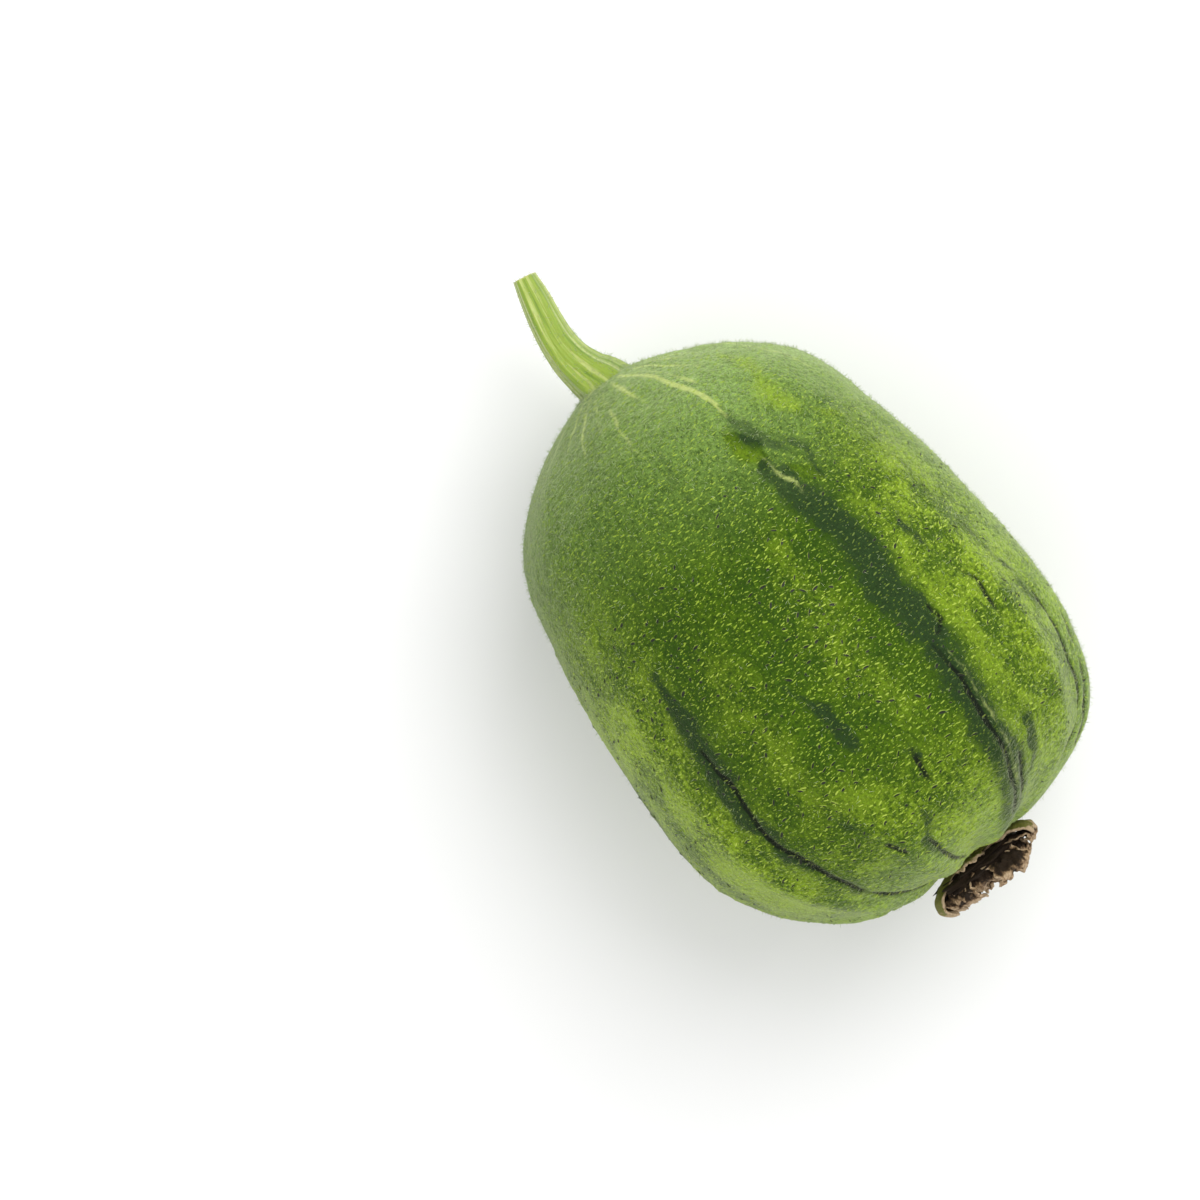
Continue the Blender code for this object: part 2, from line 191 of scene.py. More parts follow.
PALE_VEINS = [
    [(1, 26, 1.1), (5, 29, 1.2), (10, 28, 1.2), (13, 28, 1.4), (17, 28, 1.3), (20, 28, 1.1),
     (24, 27, 0.5)],
    [(1.2, 12, 0.6), (4, 12, 0.9), (7, 13, 0.8), (10, 13, 0.4)],
    [(1.2, 44, 0.6), (4, 45, 0.9), (8, 44, 0.8), (12, 44, 0.4)],
    [(1.2, 68, 0.6), (4, 66, 0.8), (8, 66, 0.5)],
    [(1.2, -24, 0.5), (4, -25, 0.8), (8, -24, 0.7), (12, -24, 0.4)],
    [(1.2, -55, 0.5), (4, -57, 0.8), (9, -58, 0.5)],
    [(94, 29, 0.3), (102, 30, 0.45), (107, 29, 0.5), (118, 30, 0.55), (126, 30.2, 0.5), (134, 32, 0.3)],
    [(2, 33, 0.4), (5, 35, 0.6), (10, 34, 0.6), (13, 33, 0.9), (15, 33, 0.5)],
    [(1.5, -14, 0.5), (5, -13, 0.7), (8, -13, 0.6), (10, -12, 0.3)],
    [(2, -4, 0.4), (9, -3, 0.8), (12, -4, 0.7), (17, -3, 0.5), (20, -1, 0.2)],
    [(1.2, -34, 0.5), (4, -36, 0.7), (8, -37, 0.5)],
    [(5, 80, 0.6), (11, 75, 0.7), (13, 72, 0.8), (17, 70, 0.7), (20, 71, 0.9), (24, 70, 0.8),
     (28, 69, 0.4)],
    [(1.5, 56, 0.5), (6, 55, 0.7), (11, 54, 0.4)],
    [(1.5, 110, 0.7), (8, 108, 0.8), (20, 106, 0.5)],
    [(1.5, 150, 0.7), (8, 152, 0.8), (22, 154, 0.5)],
    [(1.5, 196, 0.7), (8, 194, 0.8), (18, 192, 0.5)],
    [(1.5, 236, 0.7), (8, 238, 0.8), (22, 241, 0.5)],
    [(1.5, 282, 0.7), (8, 284, 0.8), (20, 287, 0.5)],
    [(36, 25, 0.4), (41, 26, 0.8), (45, 28, 0.7), (48, 27, 0.3)],
]
BRIGHT_PATCHES = [
    [(19, 50, 2), (23, 48, 5), (26, 45, 6.5), (30, 45, 5), (33, 46, 2)],
    [(12, 56, 2), (16, 53, 3.5), (20, 50, 3)],
    [(28, 23, 2), (33, 24, 4.2), (37, 25, 2)],
    [(42, 30, 1.5), (45, 33, 3.2), (48, 35, 1.5)],
    [(34, 52, 1.5), (37, 54, 2.5), (40, 56, 1.5)],
    [(54, 12, 6), (68, 10, 9), (84, 7, 9), (98, 12, 6)],
    [(50, 42, 3), (62, 38, 3), (73, 37, 3.6), (91, 38, 4.4), (107, 37, 3.6), (116, 48, 3)],
    [(104, -14, 8), (116, -8, 8), (128, 8, 6), (134, -12, 4)],
    [(66, -20, 8), (88, -20, 8), (104, -22, 6)],
    [(90, -58, 8), (110, -58, 8), (126, -58, 5)],
    [(70, 95, 9), (100, 95, 9), (126, 95, 5)],
    *([(60, turn, 8), (100, turn, 8), (126, turn, 5)] for turn in (132, 170, 210, 250)),
]
# The open, smooth skin of the two small patches has no flecks
SMOOTH_PATCHES = [
    [(29, 23, 2), (33, 24, 4), (36, 25, 2)],
    [(42, 30, 1.5), (45, 33, 2.6), (47, 35, 1.5)],
]


def colour_setting(name, description, default):
    return FloatVectorProperty(
        name=name, description=description, default=default, subtype="COLOR", size=3, min=0, max=1
    )


def length_setting(name, description, default):
    return FloatProperty(name=name, description=description, default=default, unit="LENGTH")


class SkinSettings(bpy.types.PropertyGroup):
    rows: IntProperty(name="Rows", description="Rows of the skin mesh from end to end", default=240, min=60)
    columns: IntProperty(name="Columns", description="Columns round the fruit", default=405, min=60)
    crease_depth: length_setting("Crease depth", "Depth of the dark creases", 0.6 * MM)
    wrinkle_height: length_setting("Wrinkle height", "Height of the short cross wrinkles", 0.25 * MM)
    bright_green: colour_setting("Bright green", "Yellow green of the open skin", (0.058, 0.118, 0.0015))
    # Pale green also paints the flanks paler than the top, as painted rim light
    pale_green: colour_setting("Pale green", "Paler green of sides and blossom end", (0.26, 0.39, 0.02))
    deep_green: colour_setting("Deep green", "Blue green between the flecks", (0.031, 0.076, 0.0025))
    stripe_green: colour_setting("Stripe green", "Dark green of the long stripes", (0.019, 0.044, 0.010))
    bloom_green: colour_setting("Bloom green", "Greyish green of the stalk end", (0.26, 0.40, 0.10))
    vein_colour: colour_setting("Vein colour", "Pale yellow of the veins", (0.50, 0.58, 0.17))


class FleckSettings(bpy.types.PropertyGroup):
    spacing: length_setting("Spacing", "Least distance between large flecks", 1.4 * MM)
    length: length_setting("Length", "Length of a large fleck", 1.7 * MM)
    height: length_setting("Height", "Height of a large fleck", 0.2 * MM)
    colour: colour_setting("Fleck colour", "Yellow green of the flecks", (0.30, 0.42, 0.03))
    lit_colour: colour_setting("Light fleck colour", "Green of the flecks on open skin", (0.44, 0.56, 0.07))
    pit_spacing: length_setting("Pit spacing", "Least distance between pits", 2.2 * MM)
    pit_length: length_setting("Pit length", "Length of a large pit", 2.5 * MM)


class HairSettings(bpy.types.PropertyGroup):
    length: length_setting("Length", "Length of a hair", 1.3 * MM)
    thickness: length_setting("Thickness", "Thickness at the root", 0.1 * MM)
    density: FloatProperty(name="Density", description="Hairs in a square metre of stalk end", default=800000)
    colour: colour_setting("Hair colour", "Greyish white of the hairs", (0.42, 0.51, 0.26))


class StalkSettings(bpy.types.PropertyGroup):
    sides: IntProperty(name="Sides", description="Points round the stalk", default=96, min=12)
    ridge_share: FloatProperty(
        name="Ridge share", description="Height of the five ridges, as a share of the radius", default=0.08,
        subtype="FACTOR",
    )
    green: colour_setting("Stalk green", "Yellow green of the stalk", (0.27, 0.38, 0.04))
    pale: colour_setting("Ridge colour", "Pale yellow of the ridge lines", (0.47, 0.54, 0.16))


class BlossomSettings(bpy.types.PropertyGroup):
    olive: colour_setting("Sepal olive", "Olive green of the dried sepals", (0.19, 0.19, 0.035))
    dark_brown: colour_setting("Dark brown", "Dark brown of the withered petals", (0.024, 0.013, 0.005))
    tan: colour_setting("Tan", "Tan of the dry rims and folds", (0.46, 0.29, 0.15))


class StageSettings(bpy.types.PropertyGroup):
    key_power: FloatProperty(
        name="Key light", description="Power of the main soft light", default=3.6, unit="POWER"
    )
    fill_power: FloatProperty(name="Fill light", description="Power of the fill", default=1.0, unit="POWER")
    surround: FloatProperty(name="Surround", description="Strength of the white surround", default=0.75)
    lens: FloatProperty(name="Lens", description="Focal length in millimetres", default=150, unit="CAMERA")
    azimuth: FloatProperty(
        name="Azimuth", description="Camera's turn round the gourd",
        default=math.radians(51.5), unit="ROTATION",
    )
    elevation: FloatProperty(
        name="Elevation", description="Camera's height; past the vertical it leans over the top",
        default=math.radians(97), unit="ROTATION",
    )


def add_node(tree, kind, inputs=None, **settings):
    """Adds a node, and sets or links its inputs by their name or number."""
    node = tree.nodes.new(kind)
    for name, value in settings.items():
        setattr(node, name, value)
    for socket, value in (inputs or {}).items():
        if isinstance(value, bpy.types.NodeSocket):
            tree.links.new(value, node.inputs[socket])
        else:
            node.inputs[socket].default_value = value
    return node


def do_math(tree, operation, *values, clamp=False):
    inputs = dict(enumerate(values))
    return add_node(tree, "ShaderNodeMath", inputs, operation=operation, use_clamp=clamp).outputs[0]


def ramp(tree, value, start, end, low=0.0, high=1.0):
    """A smooth step from low at start to high at end."""
    inputs = {0: value, 1: start, 2: end, 3: low, 4: high}
    return add_node(tree, "ShaderNodeMapRange", inputs, interpolation_type="SMOOTHSTEP").outputs[0]


def blend_colours(tree, share, first, second, blend="MIX"):
    inputs = {0: share, 6: first, 7: second}
    return add_node(tree, "ShaderNodeMix", inputs, data_type="RGBA", blend_type=blend).outputs[2]


def times(tree, first, second, clamp=False):
    return do_math(tree, "MULTIPLY", first, second, clamp=clamp)


def combine(tree, *values):
    return add_node(tree, "ShaderNodeCombineXYZ", dict(enumerate(values))).outputs[0]


def attribute(tree, name):
    """The number that a mesh attribute holds, in a material."""
    return add_node(tree, "ShaderNodeAttribute", attribute_name=name).outputs["Fac"]


def darken(tree, colour, shade):
    """The colour times a number."""
    return blend_colours(tree, 1.0, colour, combine(tree, shade, shade, shade), "MULTIPLY")


def noise_value(tree, position, size, detail=3.0, roughness=0.55):
    """Noise whose blotches measure about size, in metres."""
    inputs = {"Vector": position, "Scale": 1 / size, "Detail": detail, "Roughness": roughness}
    return add_node(tree, "ShaderNodeTexNoise", inputs).outputs["Fac"]


def fruit_position(tree):
    """Object coordinates turned back into the fruit's own frame."""
    position = add_node(tree, "ShaderNodeTexCoord").outputs["Object"]
    back = PLACE.inverted()
    inputs = {"Vector": position, "Location": back.to_translation(), "Rotation": back.to_euler()}
    return add_node(tree, "ShaderNodeMapping", inputs, vector_type="POINT").outputs[0]


def new_group(name, inputs, outputs, kind="ShaderNodeTree"):
    """A node group: its inputs are names, kinds and defaults, and its outputs are names and kinds."""
    group = bpy.data.node_groups.new(name, kind)
    for label, socket_kind, default in inputs:
        socket = group.interface.new_socket(label, in_out="INPUT", socket_type="NodeSocket" + socket_kind)
        if default is not None:
            socket.default_value = default
    for label, socket_kind in outputs:
        group.interface.new_socket(label, in_out="OUTPUT", socket_type="NodeSocket" + socket_kind)
    return group, group.nodes.new("NodeGroupInput").outputs, group.nodes.new("NodeGroupOutput").inputs


def rgba(colour):
    return (*colour, 1)


def sum_of(tree, *terms):
    """Adds up (value, factor) pairs."""
    total = None
    for value, factor in terms:
        part = times(tree, value, factor)
        total = part if total is None else do_math(tree, "ADD", total, part)
    return total


def skin_group():
    """The colour of the skin, shared by the skin and by the flecks and pits on it."""
    if "Gourd skin colour" in bpy.data.node_groups:
        return bpy.data.node_groups["Gourd skin colour"]
    look = bpy.context.scene.gourd_skin
    shades = ("bright_green", "pale_green", "deep_green", "stripe_green", "bloom_green", "vein_colour")
    inputs = [(name.replace("_", " ").capitalize(), "Color", rgba(getattr(look, name))) for name in shades]
    inputs.append(("Fleck colour", "Color", rgba(bpy.context.scene.gourd_flecks.colour)))
    outputs = [("Color", "Color"), ("Grain", "Float")]
    group, given, result = new_group("Gourd skin colour", inputs, outputs)
    position = fruit_position(group)
    broad = noise_value(group, position, 24 * MM, 2)
    blotch = noise_value(group, position, 8 * MM, 3, 0.6)
    patchy = noise_value(group, position, 2.6 * MM, 3, 0.6)
    fine = noise_value(group, position, 0.9 * MM, 3, 0.65)
    grain = noise_value(group, position, 0.35 * MM, 2, 0.7)
    names = ("bright", "stripe", "bloom_and_rim_sheen", "vein", "crease", "pitted", "plain", "pale_and_rim_lit")
    bright, stripe, bloom_and_rim_sheen, vein, crease, pitted, plain, pale_and_rim_lit = (attribute(group, name) for name in names)

    # Pale skin mottled with deeper green, and the dark stripes over it; the flanks' mask paints them paler, a
    # painted rim light
    pale = blend_colours(group, pale_and_rim_lit, given["Bright green"], given["Pale green"])
    pale = blend_colours(group, times(group, bright, 0.34), pale, given["Pale green"])
    deep = times(group, pale_and_rim_lit, 0.85)
    deep = blend_colours(group, deep, given["Deep green"], given["Bright green"])
    mottle = sum_of(
        group, (broad, 0.45), (blotch, 0.45), (patchy, 0.55), (fine, 0.75), (bright, 0.15), (pitted, -0.12)
    )
    open_skin = ramp(group, mottle, 0.86, 1.3)
    colour = blend_colours(group, open_skin, deep, pale)
    rough_stripe = sum_of(group, (stripe, 1.0), (blotch, 0.4), (patchy, 0.8), (fine, 1.1))
    striped = ramp(group, rough_stripe, 1.35, 1.75, 0, 0.95)
    colour = blend_colours(group, striped, colour, given["Stripe green"])

    # The grey bloom, and along the right flank a painted sheen in the same mask
    frost = sum_of(group, (patchy, 0.5), (fine, 0.6), (grain, 0.6))
    haze = times(group, bloom_and_rim_sheen, ramp(group, frost, 0.6, 1.0, 0.4, 1.15), clamp=True)
    covered = sum_of(group, (bright, 0.9), (plain, 1.0), (striped, 0.6))
    haze = times(group, haze, do_math(group, "SUBTRACT", 1.0, covered, clamp=True))
    colour = blend_colours(group, haze, colour, given["Bloom green"])

    # Small pale dots, longer across the fruit than along it
    across = add_node(group, "ShaderNodeMapping", {"Vector": position, "Scale": (2.3, 1, 1)}).outputs[0]
    dots = add_node(group, "ShaderNodeTexVoronoi", {"Vector": across, "Scale": 1 / (1.15 * MM)}).outputs
    pick = add_node(group, "ShaderNodeSeparateColor", {0: dots["Color"]}).outputs[0]
    dot = times(group, ramp(group, dots["Distance"], 0.34, 0.12), ramp(group, pick, 0.2, 0.75, 0, 0.75))
    dot = times(group, dot, ramp(group, striped, 0, 1, 1, 0.45))
    dot = times(group, dot, do_math(group, "SUBTRACT", 1.0, plain))
    colour = blend_colours(group, dot, colour, given["Fleck colour"])

    # Fine grain, painted shade in the creases and the pale veins
    light_grain = sum_of(group, (grain, 1.1), (fine, 1.1))
    light_grain = do_math(group, "SUBTRACT", light_grain, 0.1)
    colour = darken(group, colour, light_grain)
    rough_crease = sum_of(group, (crease, 1.0), (patchy, 0.35), (fine, 0.5))
    crease_shade = ramp(group, rough_crease, 0.55, 1.0, 0, 0.95)
    colour = blend_colours(group, crease_shade, colour, CREASE_SHADE_COLOUR)
    rough_vein = sum_of(group, (vein, 1.0), (patchy, 0.5), (fine, 0.5))
    veined = ramp(group, rough_vein, 0.62, 1.15, 0, 0.85)
    colour = blend_colours(group, veined, colour, given["Vein colour"])
    group.links.new(colour, result["Color"])
    group.links.new(grain, result["Grain"])
    return group


def new_material(name):
    """An empty material with a Principled shader: the node tree and the shader."""
    material = bpy.data.materials.new(name)
    material.use_nodes = True
    return material, material.node_tree, material.node_tree.nodes["Principled BSDF"]


def set_shader(shader, **values):
    """Sets a shader's sockets by their names, with spaces as underscores."""
    for name, value in values.items():
        shader.inputs[name.replace("_", " ")].default_value = value


def add_bump(tree, shader, height, distance):
    bump = add_node(tree, "ShaderNodeBump", {"Strength": 1.0, "Distance": distance, "Height": height})
    tree.links.new(bump.outputs[0], shader.inputs["Normal"])


def skin_material():
    material, tree, shader = new_material("gourd_skin")
    skin = add_node(tree, "ShaderNodeGroup", node_tree=skin_group())
    tree.links.new(skin.outputs["Color"], shader.inputs["Base Color"])
    position = fruit_position(tree)
    stretch = add_node(tree, "ShaderNodeMapping", {"Vector": position, "Scale": (2.2, 1, 1)}).outputs[0]
    folds = noise_value(tree, stretch, 1.9 * MM, 4, 0.65)
    height = do_math(tree, "ADD", folds, times(tree, skin.outputs["Grain"], 0.35))
    add_bump(tree, shader, height, 0.75 * MM)
    tree.links.new(ramp(tree, skin.outputs["Grain"], 0.3, 0.7, 0.40, 0.62), shader.inputs["Roughness"])
    set_shader(shader, Specular_IOR_Level=0.1, Sheen_Weight=0.7, Sheen_Roughness=0.2,
               Sheen_Tint=(0.86, 0.95, 0.58, 1), Subsurface_Weight=0.03, Subsurface_Scale=0.0015)
    return material


def raised_material(name, hollow):
    """The flecks' pale crests over the skin's own colour; a pit's hollow and the low side of its lip get
    painted shade as well.
    """
    material, tree, shader = new_material(name)
    skin = add_node(tree, "ShaderNodeGroup", node_tree=skin_group())
    tone = attribute(tree, "tone")
    share = times(tree, ramp(tree, attribute(tree, "crest"), 0, 0.7), ramp(tree, tone, 0, 1, 0.3, 1))
    share = times(tree, share, ramp(tree, attribute(tree, "stripe"), 0.1, 0.5, 0.95, 0.4))
    look = bpy.context.scene.gourd_flecks
    # Flecks are lighter on the bright patches, and as painted rim light on the flanks
    lit = do_math(tree, "MAXIMUM", attribute(tree, "bright"), attribute(tree, "pale_and_rim_lit"))
    crest_colour = blend_colours(tree, lit, rgba(look.colour), rgba(look.lit_colour))
    colour = blend_colours(tree, share, skin.outputs["Color"], crest_colour)
    if hollow:
        colour = blend_colours(tree, 0.45, colour, skin.outputs["Color"])
        dark = times(tree, attribute(tree, "hollow"), 0.95)
        colour = blend_colours(tree, dark, colour, PIT_SHADE_COLOUR)
    tree.links.new(colour, shader.inputs["Base Color"])
    set_shader(shader, Roughness=0.45, Specular_IOR_Level=0.25, Sheen_Weight=0.1)
    return material


def hair_material():
    material, tree, shader = new_material("hair")
    look = bpy.context.scene.gourd_hairs
    tone = attribute(tree, "tone")
    dim = tuple(0.75 * part for part in look.colour)
    colour = blend_colours(tree, tone, rgba(dim), rgba(look.colour))
    tree.links.new(colour, shader.inputs["Base Color"])
    set_shader(shader, Roughness=0.6, Specular_IOR_Level=0.3)
    return material


def stalk_material():
    material, tree, shader = new_material("stalk_rind")
    look = bpy.context.scene.gourd_stalk
    ring = add_node(tree, "ShaderNodeAttribute", attribute_name="ring").outputs["Vector"]
    along = attribute(tree, "along")
    parts = add_node(tree, "ShaderNodeSeparateXYZ", {0: ring}).outputs
    turn = do_math(tree, "ARCTAN2", parts[1], parts[0])
    ridges = do_math(tree, "COSINE", times(tree, turn, 10.0))
    swirl = combine(tree, parts[0], parts[1], times(tree, along, 0.35))
    streaks = noise_value(tree, swirl, 0.2, 4, 0.65)
    lines = do_math(tree, "ADD", times(tree, ridges, 0.09), streaks)
    pale = ramp(tree, lines, 0.49, 0.64, 0, 1.0)
    colour = blend_colours(tree, pale, rgba(look.green), rgba(look.pale))
    dark = ramp(tree, lines, 0.28, 0.46, 0.75, 0.0)
    colour = blend_colours(tree, dark, colour, STALK_DARK)
    position = fruit_position(tree)
    speckle = noise_value(tree, position, 0.5 * MM, 3, 0.7)
    colour = blend_colours(tree, ramp(tree, speckle, 0.55, 0.75, 0, 0.25), colour, STALK_SPECKLE)
    colour = blend_colours(tree, attribute(tree, "cut"), colour, STALK_CUT)
    tree.links.new(colour, shader.inputs["Base Color"])
    add_bump(tree, shader, do_math(tree, "ADD", lines, times(tree, speckle, 0.3)), 0.25 * MM)
    set_shader(shader, Roughness=0.5, Specular_IOR_Level=0.35, Sheen_Weight=0.25, Subsurface_Weight=0.08,
               Subsurface_Scale=0.002)
    return material


def dried_group():
    """Blotched dry plant tissue, shared by the sepals and the petals; its tan and cream also paint highlights
    on raised folds.
    """
    if "Dried tissue" in bpy.data.node_groups:
        return bpy.data.node_groups["Dried tissue"]
    inputs = [
        ("Inner colour", "Color", (0.2, 0.2, 0.05, 1)),
        ("Rim colour", "Color", (0.4, 0.25, 0.1, 1)),
        ("Bleached colour", "Color", BLEACHED_AND_HIGHLIGHT),
        ("Rim start", "Float", 0.6),
        ("Blotch size", "Float", 0.002),
    ]
    group, given, result = new_group("Dried tissue", inputs, [("Color", "Color"), ("Height", "Float")])
    position = fruit_position(group)
    scale = do_math(group, "DIVIDE", 1.0, given["Blotch size"])
    inputs = {"Vector": position, "Scale": scale, "Detail": 5.0, "Roughness": 0.65}
    blotch = add_node(group, "ShaderNodeTexNoise", inputs).outputs["Fac"]
    fibres = noise_value(group, position, 0.35 * MM, 3, 0.7)
    blotched = times(group, do_math(group, "SUBTRACT", blotch, 0.5), 2.0)
    rim = do_math(group, "ADD", attribute(group, "rim"), blotched)
    share = ramp(group, rim, given["Rim start"], 1.0)
    colour = blend_colours(group, share, given["Inner colour"], given["Rim colour"])
    # Cream on the palest parts: bleached tissue, and on raised folds a painted highlight
    bleached_and_highlight = ramp(group, sum_of(group, (rim, 1.0), (fibres, 0.6)), 0.9, 1.4, 0, 0.85)
    colour = blend_colours(group, bleached_and_highlight, colour, given["Bleached colour"])
    shade = do_math(group, "MULTIPLY_ADD", fibres, 1.1, 0.4)
    colour = darken(group, colour, shade)
    group.links.new(colour, result["Color"])
    height = do_math(group, "ADD", blotch, times(group, fibres, 0.5))
    group.links.new(height, result["Height"])
    return group


def dried_material(name, inner, rim, rim_start, blotch_size):
    material, tree, shader = new_material(name)
    values = {"Inner colour": rgba(inner), "Rim colour": rgba(rim)}
    values.update({"Rim start": rim_start, "Blotch size": blotch_size})
    tissue = add_node(tree, "ShaderNodeGroup", values, node_tree=dried_group())
    tree.links.new(tissue.outputs["Color"], shader.inputs["Base Color"])
    add_bump(tree, shader, tissue.outputs["Height"], 0.9 * MM)
    set_shader(shader, Roughness=0.75, Specular_IOR_Level=0.25)
    return material


def link_object(name, mesh, material=None):
    """An object in the scene for a mesh or a curve, with one material where it is given."""
    piece = bpy.data.objects.new(name, mesh)
    bpy.context.scene.collection.objects.link(piece)
    if material:
        mesh.materials.clear()
        mesh.materials.append(material)
    return piece


def store(mesh, name, values):
    """Stores one number for each vertex."""
    holder = mesh.attributes.new(name, "FLOAT", "POINT")
    holder.data.foreach_set("value", np.asarray(values, np.float32))


def store_vector(mesh, name, values):
    holder = mesh.attributes.new(name, "FLOAT_VECTOR", "POINT")
    holder.data.foreach_set("vector", np.asarray(values, np.float32).ravel())


def grid_mesh(name, points, closed, poles=None):
    """A mesh from rows of points; closed joins the last column to the first, and poles cap both ends."""
    rows, columns = points.shape[:2]
    index = np.arange(rows * columns).reshape(rows, columns)
    right = np.roll(index, -1, axis=1) if closed else index[:, 1:]
    left = index if closed else index[:, :-1]
    quads = np.stack([left[:-1], left[1:], right[1:], right[:-1]], axis=-1).reshape(-1, 4)
    faces = quads.tolist()
    vertices = points.reshape(-1, 3).tolist()
    if poles:
        first, last = len(vertices), len(vertices) + 1
        vertices += [list(pole) for pole in poles]
        faces += [(first, a, b) for a, b in zip(index[0], np.roll(index[0], -1))]
        faces += [(last, b, a) for a, b in zip(index[-1], np.roll(index[-1], -1))]
    mesh = bpy.data.meshes.new(name)
    mesh.from_pydata(vertices, [], faces)
    mesh.update()
    return mesh


def soften(values, width):
    """Smooths rows of numbers along the rows and round the columns."""
    reach = int(3 * width)
    weights = np.exp(-0.5 * (np.arange(-reach, reach + 1) / width) ** 2)
    weights /= weights.sum()
    padded = np.pad(values, ((reach, reach), (0, 0)), mode="reflect")
    rows = sum(w * padded[i:i + len(values)] for i, w in enumerate(weights))
    return sum(w * np.roll(rows, i - reach, axis=1) for i, w in enumerate(weights))


class Skin:
    """The fruit's fine surface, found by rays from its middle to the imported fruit."""

    def __init__(self, rows, columns):
        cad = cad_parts["fruit"].data
        back = PLACE.inverted()
        corners = [back @ vert.co for vert in cad.vertices]
        tree = BVHTree.FromPolygons(corners, [tuple(face.vertices) for face in cad.polygons])
        self.middle = Vector((FRUIT_LENGTH / 2, 0, 0))
        lean = np.pi * (np.arange(rows) + 1) / (rows + 1)
        turn = 2 * np.pi * np.arange(columns) / columns
        lean, turn = np.meshgrid(lean, turn, indexing="ij")
        way = np.stack([-np.cos(lean), np.sin(lean) * np.sin(turn), np.sin(lean) * np.cos(turn)], axis=-1)
        reach = np.zeros(lean.shape)
        for row in range(rows):
            for column in range(columns):
                reach[row, column] = tree.ray_cast(self.middle, Vector(way[row, column]))[3]
        ends = [tree.ray_cast(self.middle, Vector((side, 0, 0)))[0] for side in (-1, 1)]
        reach = soften(reach, 2.4)
        self.points = np.array(self.middle) + way * reach[..., None]
        self.poles = [tuple(end) for end in ends]
        radius = np.hypot(self.points[..., 1], self.points[..., 2])
        self.radius_at = (self.points[..., 0].mean(1), radius.mean(1))

    def flattened(self, points):
        """The points moved onto the smooth outline, so that furrows don't carry them off a band."""
        radius = np.hypot(points[:, 1], points[:, 2]).clip(1e-6)
        scale = np.interp(points[:, 0], *self.radius_at) / radius
        return np.stack([points[:, 0], points[:, 1] * scale, points[:, 2] * scale], axis=1)

    def place(self, x, turn):
        """The point on the surface at x millimetres along the axis and a turn in degrees."""
        radius = np.interp(x * MM, *self.radius_at)
        angle = math.radians(turn)
        return np.array((x * MM, radius * math.sin(angle), radius * math.cos(angle)))


def band(points, skin, path, full):
    """How deep each point is inside a band along a path on the skin: 1 on its line, 0 at its edge.

    Where the band is narrower than full, in millimetres, it is fainter.
    """
    best = np.zeros(len(points))
    for (x0, turn0, half0), (x1, turn1, half1) in zip(path, path[1:]):
        start, end = skin.place(x0, turn0), skin.place(x1, turn1)
        reach = abs(end[0] - start[0]) / 2 + BAND_MARGIN
        near = np.flatnonzero(np.abs(points[:, 0] - (start[0] + end[0]) / 2) < reach)
        offset = points[near] - start
        line = end - start
        share = np.clip(offset @ line / (line @ line), 0, 1)
        away = np.linalg.norm(offset - share[:, None] * line, axis=1)
        half = half0 + (half1 - half0) * share
        drawn = np.maximum(half, 1.0) * MM
        depth = np.clip(1 - away / drawn, 0, 1) * np.minimum(half / full, 1)
        best[near] = np.maximum(best[near], depth)
    return best


def bands(points, skin, paths, full=0.01):
    """The deepest that each point is inside any of the bands."""
    return np.max([band(points, skin, path, full) for path in paths], axis=0)


def warped(points, size, reach):
    """The points pushed about by noise, so that a band's edges wander."""
    return points + np.array([noise.noise_vector(Vector(point) / size) for point in points]) * reach


def noise_at(points, size):
    """One smooth random number for each point."""
    return np.array([noise.noise(Vector(point) / size) for point in points])


def smooth_step(value, start, end):
    share = np.clip((value - start) / (end - start), 0, 1)
    return share * share * (3 - 2 * share)


def set_to_place(mesh):
    """Moves a mesh from the fruit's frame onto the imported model."""
    mesh.transform(PLACE)
    mesh.update()


def finish_piece(piece, slot, *nodes):
    """Makes a piece ride with the gourd, and hides the CAD nodes that it stands for; slot is not used."""
    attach(piece, "root")
    if nodes:
        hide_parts(*nodes)


